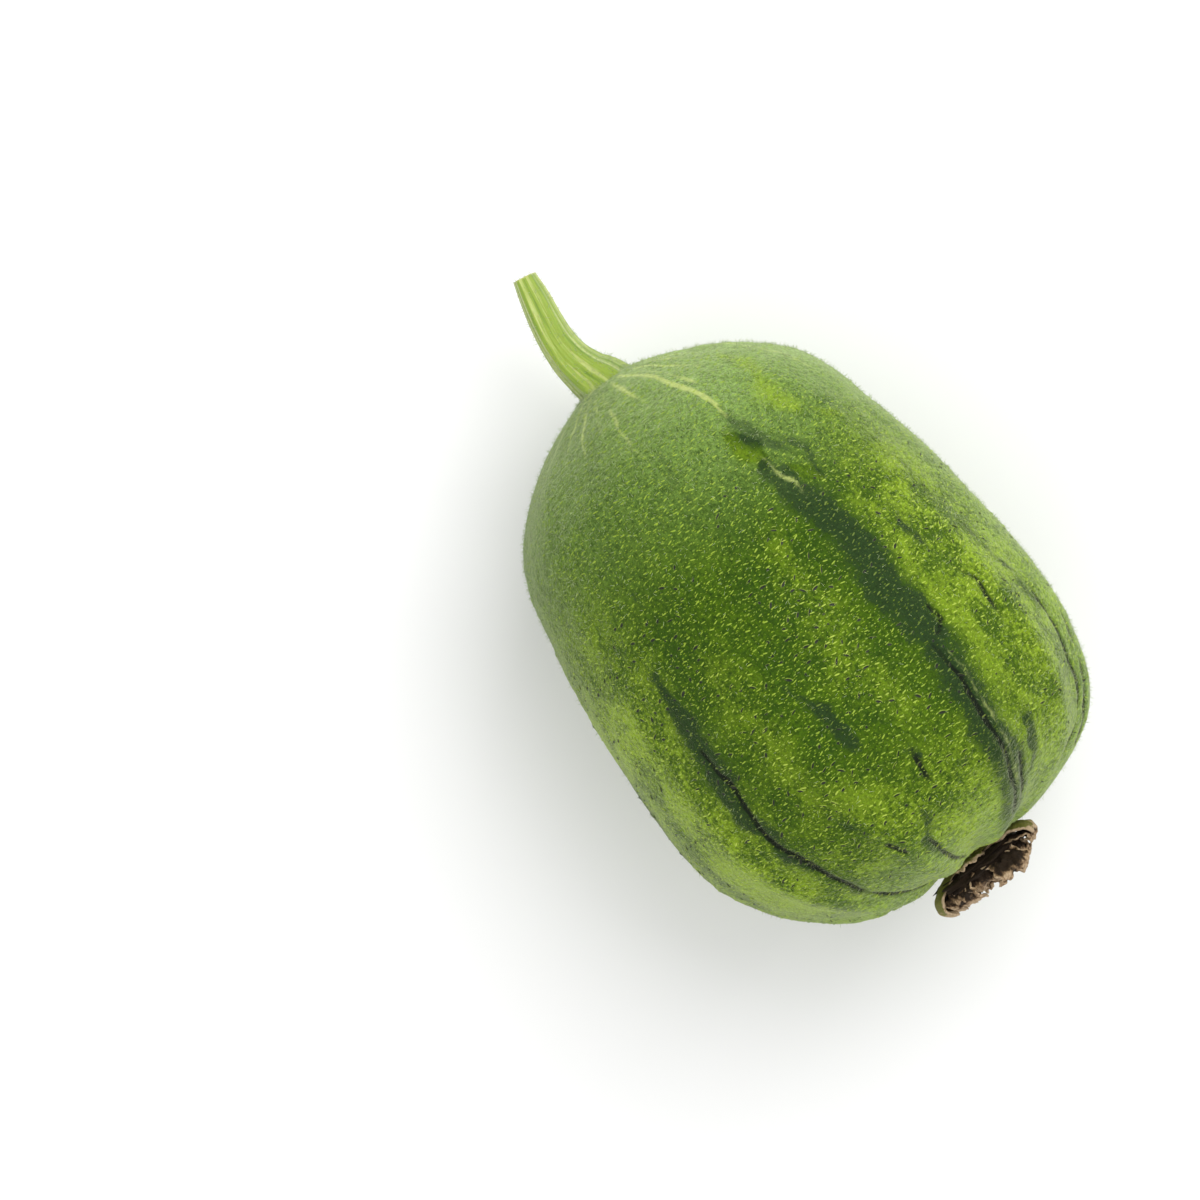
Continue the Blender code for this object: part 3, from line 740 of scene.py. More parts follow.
class GOURD_OT_skin(bpy.types.Operator):
    """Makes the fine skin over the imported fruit, with its creases, wrinkles and markings"""

    bl_idname = "gourd.skin"
    bl_label = "Fine skin"

    def execute(self, context):
        look = context.scene.gourd_skin
        noise.seed_set(NOISE_SEED)
        skin = Skin(look.rows, look.columns)
        mesh = grid_mesh("fine_skin", skin.points, True, skin.poles)
        points = np.array([vert.co for vert in mesh.vertices])
        normals = np.array([normal.vector for normal in mesh.vertex_normals])
        radius = np.hypot(points[:, 1], points[:, 2])
        across = np.stack([np.zeros(len(points)), points[:, 2], -points[:, 1]], axis=1)
        across /= radius[:, None].clip(1e-6)
        flat = skin.flattened(points)
        ragged = warped(warped(flat, 7 * MM, 2.2 * MM), 2.5 * MM, 1.1 * MM)
        wavy = warped(flat, 6 * MM, 0.7 * MM)

        # Cross wrinkles come in patches and, like the creases, fade out at the two poles
        crease = bands(wavy, skin, CREASES, 0.6)
        stripe = bands(ragged, skin, DARK_STRIPES, 4)
        ends = smooth_step(radius, 8 * MM, 16 * MM)
        wrinkle = noise_at(points / (np.array((2.4, 5, 5)) * MM), 1)
        zone = noise_at(points, 24 * MM)
        height = wrinkle * (0.35 + 0.65 * smooth_step(zone, -0.25, 0.3)) * look.wrinkle_height
        height -= crease * look.crease_depth
        points += normals * (ends * height)[:, None]
        mesh.vertices.foreach_set("co", points.ravel())

        # The grey bloom and the hairs fade out away from the stalk end
        stalk_end = 1 - smooth_step(points[:, 0], 8 * MM, 56 * MM)
        blossom_end = smooth_step(points[:, 0], 118 * MM, 136 * MM)

        # Pits crowd along the top, in clusters
        cluster = noise_at(points, 9 * MM)
        turn = np.degrees(np.arctan2(points[:, 1], points[:, 2]))
        crowded = 0.25 * smooth_step(turn, -60, -35) * (1 - smooth_step(turn, 15, 40))
        pitted = smooth_step(cluster + crowded, -0.1, 0.3) * smooth_step(points[:, 0], 34 * MM, 60 * MM)
        pitted *= 1 - blossom_end
        plain = smooth_step(bands(wavy, skin, SMOOTH_PATCHES), 0.1, 0.5)

        # The flanks are painted paler than the top, a painted rim light; one is hairier, and on it the bloom
        # mask carries a painted sheen
        sides = smooth_step(np.abs(turn), 24, 56) * smooth_step(points[:, 0], 20 * MM, 70 * MM)
        frosted = 0.45 + 0.55 * smooth_step(turn, -25, 40)
        rim_hair = 0.2 * sides * (turn > 0) + 0.4 * smooth_step(turn, 50, 85)
        painted_rim_sheen = 0.45 * smooth_step(turn, 58, 85) * (1 - smooth_step(turn, 115, 145))

        # Nothing stands up where the fruit touches the floor
        turned = np.array(PLACE.to_3x3())
        raised = smooth_step((points @ turned.T)[:, 2] + SEAT_CENTRE.z, 1.5 * MM, 3 * MM)
        flecked = (1 - 0.55 * smooth_step(stripe, 0.2, 0.6)) * (1 - plain)
        flecked *= smooth_step(radius, 9 * MM, 14 * MM)
        values = {
            "stripe": stripe,
            "crease": crease,
            "vein": bands(wavy, skin, PALE_VEINS, 1.3),
            "bright": bands(ragged, skin, BRIGHT_PATCHES),
            # The right flank's share of this mask is a painted sheen
            "bloom_and_rim_sheen": 0.8 * stalk_end * frosted + 0.35 * blossom_end + painted_rim_sheen,
            "pitted": pitted * raised,
            "plain": plain,
            "pale_and_rim_lit": np.maximum.reduce([
                sides, smooth_step(points[:, 0], 98 * MM, 134 * MM),
                0.6 * smooth_step(bands(ragged, skin, BRIGHT_PATCHES[:2]), 0.05, 0.5),
            ]),
            "flecked": flecked * raised * (1 - 0.25 * stalk_end),
            "hairy": (0.08 + 0.85 * stalk_end + rim_hair) * smooth_step(radius, 5 * MM, 7 * MM) * raised,
        }
        for name, numbers in values.items():
            store(mesh, name, numbers)
        set_to_place(mesh)
        placed = np.array([vert.co for vert in mesh.vertices])
        placed[:, 2] = placed[:, 2].clip(0)
        mesh.vertices.foreach_set("co", placed.ravel())
        store_vector(mesh, "across", across @ turned.T)
        mesh.shade_smooth()
        piece = link_object("fine_skin", mesh, skin_material())
        finish_piece(piece, "skin", "fruit")
        return {"FINISHED"}


GEOMETRY_OUT = [("Geometry", "Geometry")]


def scatter_tree():
    """Geometry nodes that spread copies of one small shape over a surface."""
    sockets = [
        ("Geometry", "Geometry", None),
        ("Shape", "Object", None),
        ("Spacing", "Float", 0.001),
        ("Density", "Float", 1000.0),
        ("Share", "String", "flecked"),
        ("Smallest", "Vector", (0.5, 0.5, 0.5)),
        ("Largest", "Vector", (1.0, 1.0, 1.0)),
        ("Turn", "Float", 0.5),
        ("Tilt", "Float", 0.0),
        ("Seed", "Int", 0),
        ("Material", "Material", None),
    ]
    tree, given, result = new_group("Scatter on skin", sockets, GEOMETRY_OUT, "GeometryNodeTree")

    share = named_value(tree, given["Share"], "FLOAT")
    inputs = {
        "Mesh": given["Geometry"], "Distance Min": given["Spacing"], "Density Max": given["Density"],
        "Density Factor": share, "Seed": given["Seed"],
    }
    spreader = "GeometryNodeDistributePointsOnFaces"
    spread = add_node(tree, spreader, inputs, distribute_method="POISSON").outputs
    align = "FunctionNodeAlignRotationToVector"
    upright = add_node(tree, align, {"Vector": spread["Normal"]}, axis="Z").outputs[0]
    inputs = {"Rotation": upright, "Vector": named_value(tree, "across", "FLOAT_VECTOR")}
    lying = add_node(tree, align, inputs, axis="X", pivot_axis="Z").outputs[0]
    turn = random_number(tree, times(tree, given["Turn"], -1.0), given["Turn"], given["Seed"], 1)
    tilt = random_number(tree, times(tree, given["Tilt"], -1.0), given["Tilt"], given["Seed"], 2)
    nod = random_number(tree, times(tree, given["Tilt"], -1.0), given["Tilt"], given["Seed"], 3)
    twist = combine(tree, tilt, nod, turn)
    by = add_node(tree, "FunctionNodeEulerToRotation", {0: twist}).outputs[0]
    inputs = {0: lying, 1: by}
    facing = add_node(tree, "FunctionNodeRotateRotation", inputs, rotation_space="LOCAL").outputs[0]
    tone = random_number(tree, 0.0, 1.0, given["Seed"], 4)
    wide = random_number(tree, 0.0, 1.0, given["Seed"], 5)
    small = add_node(tree, "ShaderNodeSeparateXYZ", {0: given["Smallest"]}).outputs
    large = add_node(tree, "ShaderNodeSeparateXYZ", {0: given["Largest"]}).outputs
    sizes = [mix_numbers(tree, part, small[i], large[i]) for i, part in enumerate((tone, wide, tone))]
    scale = combine(tree, *sizes)
    toned = with_value(tree, spread["Points"], "tone", tone, "FLOAT")
    shape = add_node(tree, "GeometryNodeObjectInfo", {"Object": given["Shape"]}).outputs["Geometry"]
    inputs = {"Points": toned, "Instance": shape, "Rotation": facing, "Scale": scale}
    copies = add_node(tree, "GeometryNodeInstanceOnPoints", inputs).outputs[0]
    end_tree(tree, copies, given, result)
    return tree


def named_value(tree, name, kind):
    """A stored attribute, in geometry nodes."""
    return add_node(tree, "GeometryNodeInputNamedAttribute", {"Name": name}, data_type=kind).outputs[0]


def with_value(tree, geometry, name, value, kind):
    """The geometry with a value stored on its points under a name."""
    inputs = {"Geometry": geometry, "Name": name, "Value": value}
    node = add_node(tree, "GeometryNodeStoreNamedAttribute", inputs, data_type=kind, domain="POINT")
    return node.outputs[0]


def end_tree(tree, geometry, given, result):
    """Ends a tree in real geometry with its material."""
    real = add_node(tree, "GeometryNodeRealizeInstances", {0: geometry}).outputs[0]
    inputs = {"Geometry": real, "Material": given["Material"]}
    tree.links.new(add_node(tree, "GeometryNodeSetMaterial", inputs).outputs[0], result[0])


def mix_numbers(tree, share, low, high):
    return add_node(tree, "ShaderNodeMix", {0: share, 2: low, 3: high}, data_type="FLOAT").outputs[0]


def random_number(tree, low, high, seed, offset):
    """A random number for each point, from the tree's seed and an offset of its own."""
    inputs = {2: low, 3: high, 8: do_math(tree, "ADD", seed, float(offset))}
    return add_node(tree, "FunctionNodeRandomValue", inputs, data_type="FLOAT").outputs[1]


def set_inputs(modifier, **values):
    """Sets a geometry nodes modifier's inputs; they are addressed by their sockets' identifiers."""
    for item in modifier.node_group.interface.items_tree:
        if item.in_out == "INPUT" and item.name in values:
            modifier[item.identifier] = values[item.name]


def run_tree(data, name, tree, **values):
    """Runs a geometry nodes tree on a mesh or a curve, and returns the plain mesh that it makes."""
    holder = link_object(name + "_source", data)
    modifier = holder.modifiers.new("Nodes", "NODES")
    modifier.node_group = tree
    set_inputs(modifier, **values)
    depsgraph = bpy.context.evaluated_depsgraph_get()
    mesh = bpy.data.meshes.new_from_object(holder.evaluated_get(depsgraph))
    mesh.name = name
    holder.modifiers.clear()
    bpy.data.objects.remove(holder)
    mesh.materials.clear()
    mesh.materials.append(values["Material"])
    mesh.polygons.foreach_set("material_index", np.zeros(len(mesh.polygons), np.int32))
    return mesh


def shape_object(name, vertices, faces, **numbers):
    """A small mesh object to be copied, with one stored number per vertex under each name."""
    mesh = bpy.data.meshes.new(name)
    mesh.from_pydata(vertices, [], faces)
    mesh.shade_smooth()
    for label, values in numbers.items():
        store(mesh, label, values)
    return link_object(name, mesh)


def oval(sides, long, wide, height, shift=0.0):
    """Points round an oval of the given half length and half width; height may vary with the turn."""
    turns = [math.tau * side / sides for side in range(sides)]
    return [(long * math.cos(turn), wide * math.sin(turn) + shift, height(turn)) for turn in turns]


def fleck_shape():
    """One fleck of unit size: a low lens with a six-sided rim and a short crest."""
    rim = oval(6, 0.5, 0.5, lambda turn: -0.25)
    faces = [(0, 1, 6), (1, 2, 7, 6), (2, 3, 7), (3, 4, 7), (4, 5, 6, 7), (5, 0, 6)]
    return shape_object("fleck_shape", rim + [(0.2, 0, 1), (-0.2, 0, 1)], faces, crest=[0] * 6 + [1] * 2)


def speck_shape():
    """One small fleck: four sides and a point."""
    rim = oval(4, 0.5, 0.5, lambda turn: -0.25)
    return shape_object("speck_shape", rim + [(0, 0, 1)], [(0, 1, 4), (1, 2, 4), (2, 3, 4), (3, 0, 4)],
                        crest=[0] * 4 + [1])


def pit_shape():
    """One pit of unit size: a raised pale lip, high on one side, round a hollow with painted shade, which
    also darkens the lip's low side.
    """
    sides = 9
    outer = oval(sides, 0.5, 0.45, lambda turn: -0.3)
    lip = oval(sides, 0.36, 0.29, lambda turn: 0.55 + 0.45 * math.sin(turn) + 0.15 * math.sin(3 * turn + 1))
    inner = oval(sides, 0.27, 0.19, lambda turn: 0.16, -0.04)
    rings = [list(range(start, start + sides)) for start in (0, sides, 2 * sides)]
    faces = []
    for low, high in zip(rings, rings[1:]):
        faces += [(low[i], low[(i + 1) % sides], high[(i + 1) % sides], high[i]) for i in range(sides)]
    faces += [(rings[2][i], rings[2][(i + 1) % sides], 3 * sides) for i in range(sides)]
    crest = [max(0, 1.2 * math.sin(math.tau * i / sides)) for i in range(sides)]
    low_side_shade = [0.7 * max(0, -math.sin(math.tau * i / sides)) for i in range(sides)]
    return shape_object(
        "pit_shape", outer + lip + inner + [(0, -0.03, 0.1)], faces,
        crest=[0] * sides + crest + [0] * (sides + 1), hollow=[0] * sides + low_side_shade + [1] * (sides + 1),
    )


class GOURD_OT_flecks(bpy.types.Operator):
    """Scatters the raised flecks, the small specks and the dark pits over the skin"""

    bl_idname = "gourd.flecks"
    bl_label = "Flecks and pits"

    def execute(self, context):
        look = context.scene.gourd_flecks
        skin = bpy.data.objects["fine_skin"]
        tree = scatter_tree()
        pale = raised_material("skin_fleck", False)
        # Each layer: its name, shape, spacing and crowding, where it grows, its smallest and largest
        # copies as shares of the size, how far they turn, and the size and material
        large, pit = (look.length, look.height), (look.pit_length, look.height)
        layers = [
            ("skin_flecks", fleck_shape(), look.spacing, 1.6, "flecked", (0.42, 0.2, 0.35), (1, 0.34, 1),
             0.45, large, pale),
            ("skin_specks", speck_shape(), 0.6 * look.spacing, 1.3, "flecked", (0.16, 0.12, 0.2),
             (0.5, 0.24, 0.5), 0.8, large, pale),
            ("skin_pits", pit_shape(), look.pit_spacing, 0.9, "pitted", (0.3, 0.25, 0.8), (1, 0.5, 1.7),
             1.0, pit, raised_material("skin_pit", True)),
        ]
        for number, layer in enumerate(layers):
            name, shape, spacing, crowd, share, least, most, turn, (long, high), material = layer
            mesh = run_tree(
                skin.data.copy(), name, tree, Shape=shape, Spacing=spacing, Density=crowd / spacing**2,
                Share=share, Smallest=(least[0] * long, least[1] * long, least[2] * high),
                Largest=(most[0] * long, most[1] * long, most[2] * high),
                Turn=turn, Tilt=0.0, Seed=3 + 20 * number, Material=material,
            )
            bpy.data.objects.remove(shape)
            finish_piece(link_object(name, mesh), "skin")
        return {"FINISHED"}


def hair_shape():
    """One bent hair of unit length and thickness: three sides that narrow to a point."""
    turns = [math.tau * side / 3 for side in range(3)]
    root = [(0.5 * math.cos(turn), 0.5 * math.sin(turn), -0.02) for turn in turns]
    middle = [(0.38 * math.cos(turn) + 1.6, 0.38 * math.sin(turn), 0.55) for turn in turns]
    faces = [(side, (side + 1) % 3, (side + 1) % 3 + 3, side + 3) for side in range(3)]
    faces += [(side + 3, (side + 1) % 3 + 3, 6) for side in range(3)]
    return shape_object("hair_shape", root + middle + [(5.2, 0, 0.95)], faces)


class GOURD_OT_hairs(bpy.types.Operator):
    """Scatters the short whitish hairs over the skin and the stalk"""

    bl_idname = "gourd.hairs"
    bl_label = "Hairs"

    def execute(self, context):
        look = context.scene.gourd_hairs
        shape = hair_shape()
        material = hair_material()
        for carrier, name, slot, share in (
            ("fine_skin", "skin_hairs", "skin", 1.0),
            ("ridged_stalk", "stalk_hairs", "stalk", 2.5),
        ):
            mesh = run_tree(
                bpy.data.objects[carrier].data.copy(), name, scatter_tree(),
                Shape=shape, Spacing=0.0, Density=share * look.density, Share="hairy",
                Smallest=(look.thickness, look.thickness, 0.4 * look.length),
                Largest=(look.thickness, look.thickness, look.length),
                Turn=math.pi, Tilt=0.9, Seed=9, Material=material,
            )
            finish_piece(link_object(name, mesh), slot)
        bpy.data.objects.remove(shape)
        return {"FINISHED"}


def smooth_path(points, steps):
    """Points on a smooth Catmull-Rom curve through the given points, with so many steps between two."""
    points = [Vector(point) for point in points]
    ends = [2 * points[0] - points[1]] + points + [2 * points[-1] - points[-2]]
    path = []
    for before, start, end, after in zip(ends, ends[1:], ends[2:], ends[3:]):
        for step in range(steps):
            t = step / steps
            bend = (2 * before - 5 * start + 4 * end - after) * t**2
            twist = (3 * start - before - 3 * end + after) * t**3
            path.append((2 * start + (end - before) * t + bend + twist) / 2)
    return path + [points[-1]]


def stalk_tree():
    """Geometry nodes that sweep a ridged ring along the stalk's centre line."""
    sockets = [
        ("Geometry", "Geometry", None),
        ("Ridge", "Float", 0.08),
        ("Sides", "Int", 96),
        ("Material", "Material", None),
    ]
    tree, given, result = new_group("Ridged stalk", sockets, GEOMETRY_OUT, "GeometryNodeTree")

    inputs = {"Resolution": given["Sides"], "Radius": 1.0}
    circle = add_node(tree, "GeometryNodeCurvePrimitiveCircle", inputs, mode="RADIUS").outputs[0]
    place = tree.nodes.new("GeometryNodeInputPosition").outputs[0]
    parts = add_node(tree, "ShaderNodeSeparateXYZ", {0: place}).outputs
    turn = do_math(tree, "ARCTAN2", parts[0], parts[1])
    main, minor, fine = (do_math(tree, "COSINE", times(tree, turn, ribs)) for ribs in (5.0, 10.0, 23.0))
    main = times(tree, main, given["Ridge"])
    share = do_math(tree, "MULTIPLY_ADD", minor, times(tree, given["Ridge"], 0.4), main)
    share = do_math(tree, "MULTIPLY_ADD", fine, 0.012, share)
    share = do_math(tree, "ADD", share, 1.0)
    ringed = with_value(tree, circle, "ring", place, "FLOAT_VECTOR")
    wider = add_node(tree, "ShaderNodeVectorMath", {0: place, "Scale": share}, operation="SCALE").outputs[0]
    profile = add_node(tree, "GeometryNodeSetPosition", {"Geometry": ringed, "Position": wider}).outputs[0]
    factor = tree.nodes.new("GeometryNodeSplineParameter").outputs["Factor"]
    rail = with_value(tree, given["Geometry"], "along", factor, "FLOAT")
    rail = add_node(tree, "GeometryNodeSetCurveNormal", {"Curve": rail}, mode="Z_UP").outputs[0]
    radius = tree.nodes.new("GeometryNodeInputRadius").outputs[0]
    inputs = {"Curve": rail, "Profile Curve": profile, "Scale": radius, "Fill Caps": True}
    swept = add_node(tree, "GeometryNodeCurveToMesh", inputs).outputs[0]
    end_tree(tree, swept, given, result)
    return tree


class GOURD_OT_stalk(bpy.types.Operator):
    """Sweeps the ridged stalk along its centre line"""

    bl_idname = "gourd.stalk"
    bl_label = "Stalk"

    def execute(self, context):
        look = context.scene.gourd_stalk
        path = smooth_path(STALK_FLARE + STALK_PATH, 14)
        curve = bpy.data.curves.new("stalk_line", "CURVE")
        curve.dimensions = "3D"
        spline = curve.splines.new("POLY")
        spline.points.add(len(path) - 1)
        for point, (x, y, radius) in zip(spline.points, path):
            point.co = (x * MM - GAP, y * MM, 0, 1)
            point.radius = radius * MM
        mesh = run_tree(curve, "ridged_stalk", stalk_tree(), Ridge=look.ridge_share, Sides=look.sides,
                        Material=stalk_material())
        points = np.array([vert.co for vert in mesh.vertices])
        along = np.array([item.value for item in mesh.attributes["along"].data])
        cut = along > 0.999
        store(mesh, "cut", cut * 1.0)
        store(mesh, "hairy", 0.25 + 0.75 * (1 - smooth_step(along, 0.1, 0.3)))
        store_vector(mesh, "across", np.tile((0.0, 1.0, 0.0), (len(points), 1)))
        set_to_place(mesh)
        mesh.shade_smooth()
        mesh.set_sharp_from_angle(angle=math.radians(50))
        finish_piece(link_object("ridged_stalk", mesh), "stalk", "stem")
        return {"FINISHED"}


def curve_points(ends, count):
    """A Bezier curve's (out, lift) points."""
    handles = [Vector((out, lift, 0)) for out, lift in ends]
    return [(point.x, point.y) for point in geometry.interpolate_bezier(*handles, count)]


def sepal_spine(root, reach, rise, rows):
    bend = (0.85 * reach + 0.7 * abs(rise), 0.2 * rise)
    return curve_points([(root, 0), (0.7 * reach, -0.25 * rise), bend, (reach, rise)], rows)


def petal_spine(root, reach, rise, tip, rows):
    return curve_points([(root, 0), (0.75 * reach, 0), (1.3 * reach, 0.75 * rise), (tip, rise)], rows)


def paleness_and_fold_highlight(rise, along, across):
    """How pale a dried blade is at one place: along its rim, towards its tip and on its raised folds; on the
    folds the paleness is a painted highlight, and the darker base is partly painted shade.
    """
    return max(abs(across) ** 4, 0.8 * along**1.8 + 0.35 * min(max(rise / (0.7 * MM), -1), 1))


def blade_mesh(name, spine, direction, base_x, half_width, wave, columns, thickness):
    """A thin closed blade with a ragged outline, and how pale each point is: near its rim, towards its tip,
    and as a painted highlight on raised folds.
    """
    angle = math.radians(direction)
    radial = np.array((0, math.sin(angle), math.cos(angle)))
    tangent = np.array((0, math.cos(angle), -math.sin(angle)))
    rows = len(spine)
    grid = np.zeros((rows, columns + 1, 3))
    rim = np.zeros((rows, columns + 1))
    for row, (out, lift) in enumerate(spine):
        along = row / (rows - 1)
        for column in range(columns + 1):
            across = 2 * column / columns - 1
            side = half_width(along, across) * across
            rise, spread = wave(along, across)
            grid[row, column] = (base_x + lift + rise, 0, 0) + radial * (out + spread) + tangent * side
            rim[row, column] = paleness_and_fold_highlight(rise, along, across)
    mesh = grid_mesh(name, grid, False)
    store(mesh, "rim", rim.ravel())
    piece = link_object(name, mesh)
    solid = piece.modifiers.new("Thickness", "SOLIDIFY")
    solid.thickness = thickness
    solid.offset = 0
    solid.use_even_offset = False
    return piece


def disc_mesh(name, start, thickness, radius, crumple, seed, segments=96, rows=24):
    """A round crumpled pad across the fruit's axis."""
    grid = np.zeros((rows, segments, 3))
    for row in range(rows):
        bend = math.pi * (row + 0.5) / rows
        for column in range(segments):
            turn = math.tau * column / segments
            way = Vector((math.cos(turn), math.sin(turn), bend * 2 + seed))
            puff = 1 + crumple * noise.noise(way * 2.3)
            out = radius * math.sin(bend) ** 0.35 * puff
            x = start + thickness * (0.5 - 0.5 * math.cos(bend))
            grid[row, column] = (x, out * math.sin(turn), out * math.cos(turn))
    centres = [(start, 0, 0), (start + thickness, 0, 0)]
    mesh = grid_mesh(name, grid, True, centres)
    store(mesh, "rim", np.zeros(len(mesh.vertices)))
    return link_object(name, mesh)


def join_pieces(pieces, name, material):
    """Joins finished objects into one mesh at the blossom end."""
    shape = bmesh.new()
    depsgraph = bpy.context.evaluated_depsgraph_get()
    for piece in pieces:
        mesh = bpy.data.meshes.new_from_object(piece.evaluated_get(depsgraph))
        shape.from_mesh(mesh)
        bpy.data.objects.remove(piece)
    bmesh.ops.recalc_face_normals(shape, faces=shape.faces)
    mesh = bpy.data.meshes.new(name)
    shape.to_mesh(mesh)
    shape.free()
    mesh.transform(Matrix.Translation((0, BLOSSOM_SHIFT, 0)))
    set_to_place(mesh)
    mesh.shade_smooth()
    return link_object(name, mesh, material)


class GOURD_OT_calyx(bpy.types.Operator):
    """Makes the dried calyx: a ring and five curled sepals"""

    bl_idname = "gourd.calyx"
    bl_label = "Calyx"

    def execute(self, context):
        look = context.scene.gourd_blossom
        start = BOSS_TOP
        pieces = [disc_mesh("calyx_ring", start, CALYX_THICKNESS, CALYX_RADIUS + 1.5 * MM, 0.1, 4)]
        draw = random.Random(3)
        for direction, reach, rise, tip in SEPALS:
            phase = draw.uniform(0, math.tau)
            root = 0.7 * CALYX_RADIUS
            if tip < reach:
                spine = petal_spine(root, reach * MM, rise * MM, tip * MM, 44)
            else:
                spine = sepal_spine(root, reach * MM, rise * MM, 44)

            def half_width(along, across, phase=phase):
                ragged = 1 + 0.05 * math.sin(23 * along + phase) + 0.03 * math.sin(51 * along + 2 * phase)
                taper = 0.15 + 0.85 * math.sin(math.pi * (0.28 + 0.66 * along)) ** 0.8
                return SEPAL_HALF_WIDTH * taper * ragged

            def wave(along, across, phase=phase):
                cup = 1.1 * MM * across**2 * (1 - 0.4 * along) + 0.2 * MM * math.sin(8 * along)
                pleat = 0.1 * MM * math.sin(9 * across + phase) * along
                crimp = 0.25 * MM * abs(across) ** 3 * math.sin(19 * along + phase)
                return cup + pleat + crimp, 0.0

            middle = start + CALYX_THICKNESS / 2
            blade = blade_mesh("sepal", spine, direction, middle, half_width, wave, 18, SEPAL_THICKNESS)
            pieces.append(blade)
        material = dried_material("dried_sepal", look.olive, look.tan, 0.62, 1.6 * MM)
        piece = join_pieces(pieces, "dried_sepals", material)
        finish_piece(piece, "sepals", "calyx")
        return {"FINISHED"}


class GOURD_OT_petals(bpy.types.Operator):
    """Makes the withered petals: five crumpled blades, inner shreds whose near-black is partly their tissue
    and partly painted shade, and the stump of the style
    """

    bl_idname = "gourd.petals"
    bl_label = "Withered petals"

    def execute(self, context):
        look = context.scene.gourd_blossom
        start = BOSS_TOP + GAP + CALYX_THICKNESS
        middle = start + PETAL_HUB_THICKNESS / 2
        pieces = [
            disc_mesh("petal_hub", start, PETAL_HUB_THICKNESS, PETAL_HUB_RADIUS, 0.12, 9),
            disc_mesh("inner_petals", start, *INNER_PETALS_AND_SHADE, 0.35, 5),
            disc_mesh("style", middle, *STYLE, 0.25, 2, 32, 14),
        ]
        draw = random.Random(11)
        # Each layer: its turn, the shares of reach, rise and tip, and half the width of its blades
        layers = [(0, 1.0, 1.3, 1.3, 4.8), (36, 0.88, 1.1, 1.1, 4.4), (12, 0.62, 1.0, 0.85, 3.4)]
        blades = [
            (direction + turn, wide * reach, high * rise, back * tip, half)
            for turn, wide, high, back, half in layers
            for direction, reach, rise, tip in PETALS
        ]
        for direction, reach, rise, tip, half in blades + [LOOSE_PETAL]:
            phase = draw.uniform(0, math.tau)
            spine = petal_spine(0.6 * PETAL_HUB_RADIUS, reach * MM, rise * MM, tip * MM, 60)

            def half_width(along, across, phase=phase, half=half):
                ragged = 1 + 0.1 * math.sin(17 * along + phase) + 0.06 * math.sin(43 * along + 2 * phase)
                return half * MM * (0.6 + 0.4 * math.sin(math.pi * (0.1 + 0.7 * along))) * ragged

            def wave(along, across, phase=phase):
                spot = Vector((5 * along, 2.4 * across, phase))
                amount = 0.25 + 0.75 * along
                crumple = 1.9 * MM * amount * noise.noise(spot)
                crumple += 0.9 * MM * amount * noise.noise(spot * 2.6)
                crease = 0.45 * MM * along * math.sin(6 * across + phase)
                spread = 1.5 * MM * amount * noise.noise(spot * 1.4 + Vector((9, 4, 2)))
                return crumple + crease, spread

            blade = blade_mesh("petal", spine, direction, middle, half_width, wave, 28, PETAL_THICKNESS)
            pieces.append(blade)
        material = dried_material("withered_petal", look.dark_brown, look.tan, 0.30, 1.5 * MM)
        piece = join_pieces(pieces, "crumpled_petals", material)
        finish_piece(piece, "petals", "withered_petals")
        return {"FINISHED"}


def plain_material(name, colour, roughness):
    material, _, shader = new_material(name)
    set_shader(shader, Base_Color=rgba(colour), Roughness=roughness)
    return material


def soft_light(name, power, size, place, target):
    """A square area light that faces a target."""
    lamp = bpy.data.lights.new(name, "AREA")
    lamp.energy = power
    lamp.size = size
    holder = bpy.data.objects.new(name, lamp)
    holder.location = place
    holder.rotation_euler = (target - place).to_track_quat("-Z", "Y").to_euler()
    bpy.context.scene.collection.objects.link(holder)


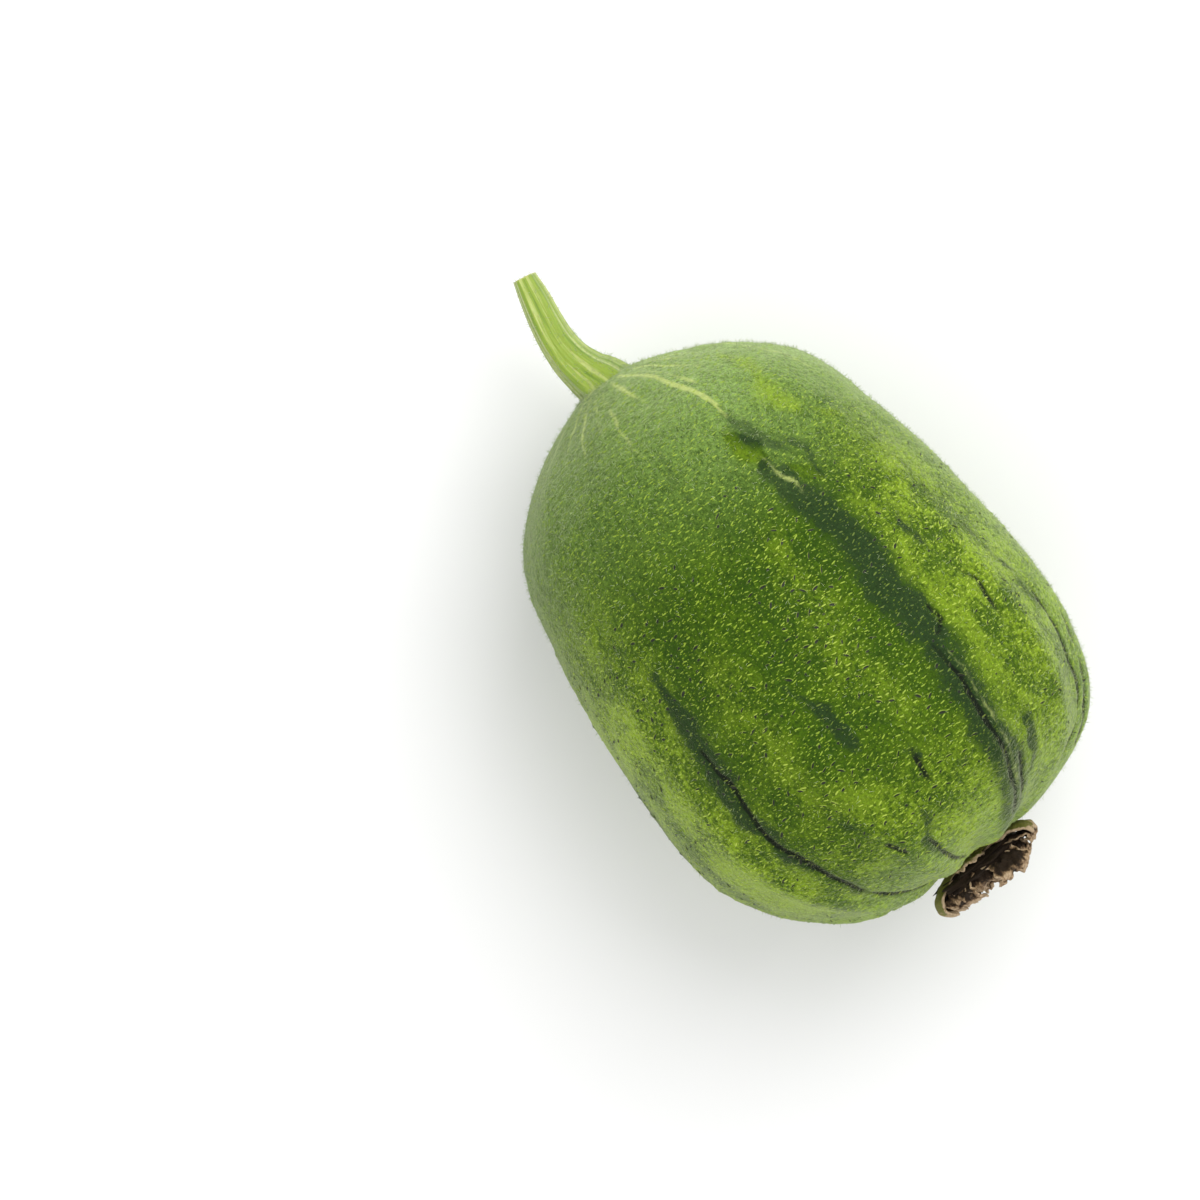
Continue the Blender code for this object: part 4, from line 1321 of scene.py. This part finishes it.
class GOURD_OT_stage(bpy.types.Operator):
    """Sets the floor, the soft lights and the camera, which looks down at the photograph's angle"""

    bl_idname = "gourd.stage"
    bl_label = "Stage"

    def execute(self, context):
        look = context.scene.gourd_stage
        floor_mesh = bpy.data.meshes.new("floor")
        sides = [(-1, -1), (1, -1), (1, 1), (-1, 1)]
        corners = [(x * FLOOR_REACH, y * FLOOR_REACH, -FLOOR_DEPTH) for x, y in sides]
        floor_mesh.from_pydata(corners, [], [(0, 1, 2, 3)])
        floor = link_object("floor", floor_mesh, plain_material("floor_white", (0.92, 0.92, 0.92), 0.8))

        world = bpy.data.worlds.new("surround")
        world.use_nodes = True
        set_shader(world.node_tree.nodes["Background"], Color=(1, 1, 1, 1), Strength=look.surround)
        context.scene.world = world
        context.scene.view_settings.view_transform = "Standard"

        right = Vector((math.cos(look.azimuth), math.sin(look.azimuth), 0))
        flat_back = Vector((math.sin(look.azimuth), -math.cos(look.azimuth), 0))
        back = flat_back * math.cos(look.elevation) + Vector((0, 0, math.sin(look.elevation)))
        up = back.cross(right)
        seen = PLACE @ Vector((SEEN_ALONG, 0, 0))
        aim = seen - right * (PIXELS_LEFT * PIXEL) + up * (PIXELS_UP * PIXEL)
        distance = look.lens / SENSOR_WIDTH * IMAGE_PIXELS * PIXEL
        camera = bpy.data.objects.new("camera", bpy.data.cameras.new("camera"))
        camera.data.lens = look.lens
        camera.data.sensor_width = SENSOR_WIDTH
        camera.data.clip_start = 0.01
        camera.location = aim + back * distance
        camera.rotation_mode = "QUATERNION"
        camera.rotation_quaternion = Matrix((right, up, back)).transposed().to_quaternion()
        context.scene.collection.objects.link(camera)
        context.scene.camera = camera

        key_place = seen + right * 0.18 + up * 0.38 + Vector((0, 0, 0.62))
        fill_place = seen - right * 0.25 - up * 0.45 + Vector((0, 0, 0.4))
        soft_light("key", look.key_power, 0.5, key_place, seen)
        soft_light("fill", look.fill_power, 0.7, fill_place, seen)
        return {"FINISHED"}


class GOURD_PT_parts(bpy.types.Panel):
    """Lists the pieces of the gourd and their settings"""

    bl_label = "Sponge gourd"
    bl_idname = "GOURD_PT_parts"
    bl_space_type = "VIEW_3D"
    bl_region_type = "UI"
    bl_category = "Gourd"

    def draw(self, context):
        for operator, holder in PANEL_ROWS.items():
            self.layout.operator(operator.bl_idname)
            for name in SETTINGS[holder].__annotations__ if holder else ():
                self.layout.prop(getattr(context.scene, holder), name)


SETTINGS = {
    "gourd_skin": SkinSettings,
    "gourd_flecks": FleckSettings,
    "gourd_hairs": HairSettings,
    "gourd_stalk": StalkSettings,
    "gourd_blossom": BlossomSettings,
    "gourd_stage": StageSettings,
}
# Each operator with the settings that the panel lists under it
PANEL_ROWS = {
    GOURD_OT_skin: "gourd_skin",
    GOURD_OT_flecks: "gourd_flecks",
    GOURD_OT_stalk: "gourd_stalk",
    GOURD_OT_hairs: "gourd_hairs",
    GOURD_OT_calyx: None,
    GOURD_OT_petals: "gourd_blossom",
    GOURD_OT_stage: "gourd_stage",
}
CLASSES = (*SETTINGS.values(), *PANEL_ROWS, GOURD_PT_parts)


def register():
    for kind in CLASSES:
        bpy.utils.register_class(kind)
    for name, kind in SETTINGS.items():
        setattr(bpy.types.Scene, name, PointerProperty(type=kind))


def unregister():
    for name in SETTINGS:
        delattr(bpy.types.Scene, name)
    for kind in reversed(CLASSES):
        bpy.utils.unregister_class(kind)


def main():
    """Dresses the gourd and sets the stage."""
    register()
    bpy.ops.gourd.skin()
    bpy.ops.gourd.flecks()
    bpy.ops.gourd.stalk()
    bpy.ops.gourd.hairs()
    bpy.ops.gourd.calyx()
    bpy.ops.gourd.petals()
    bpy.ops.gourd.stage()
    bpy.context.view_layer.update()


if __name__ == "__main__":
    main()
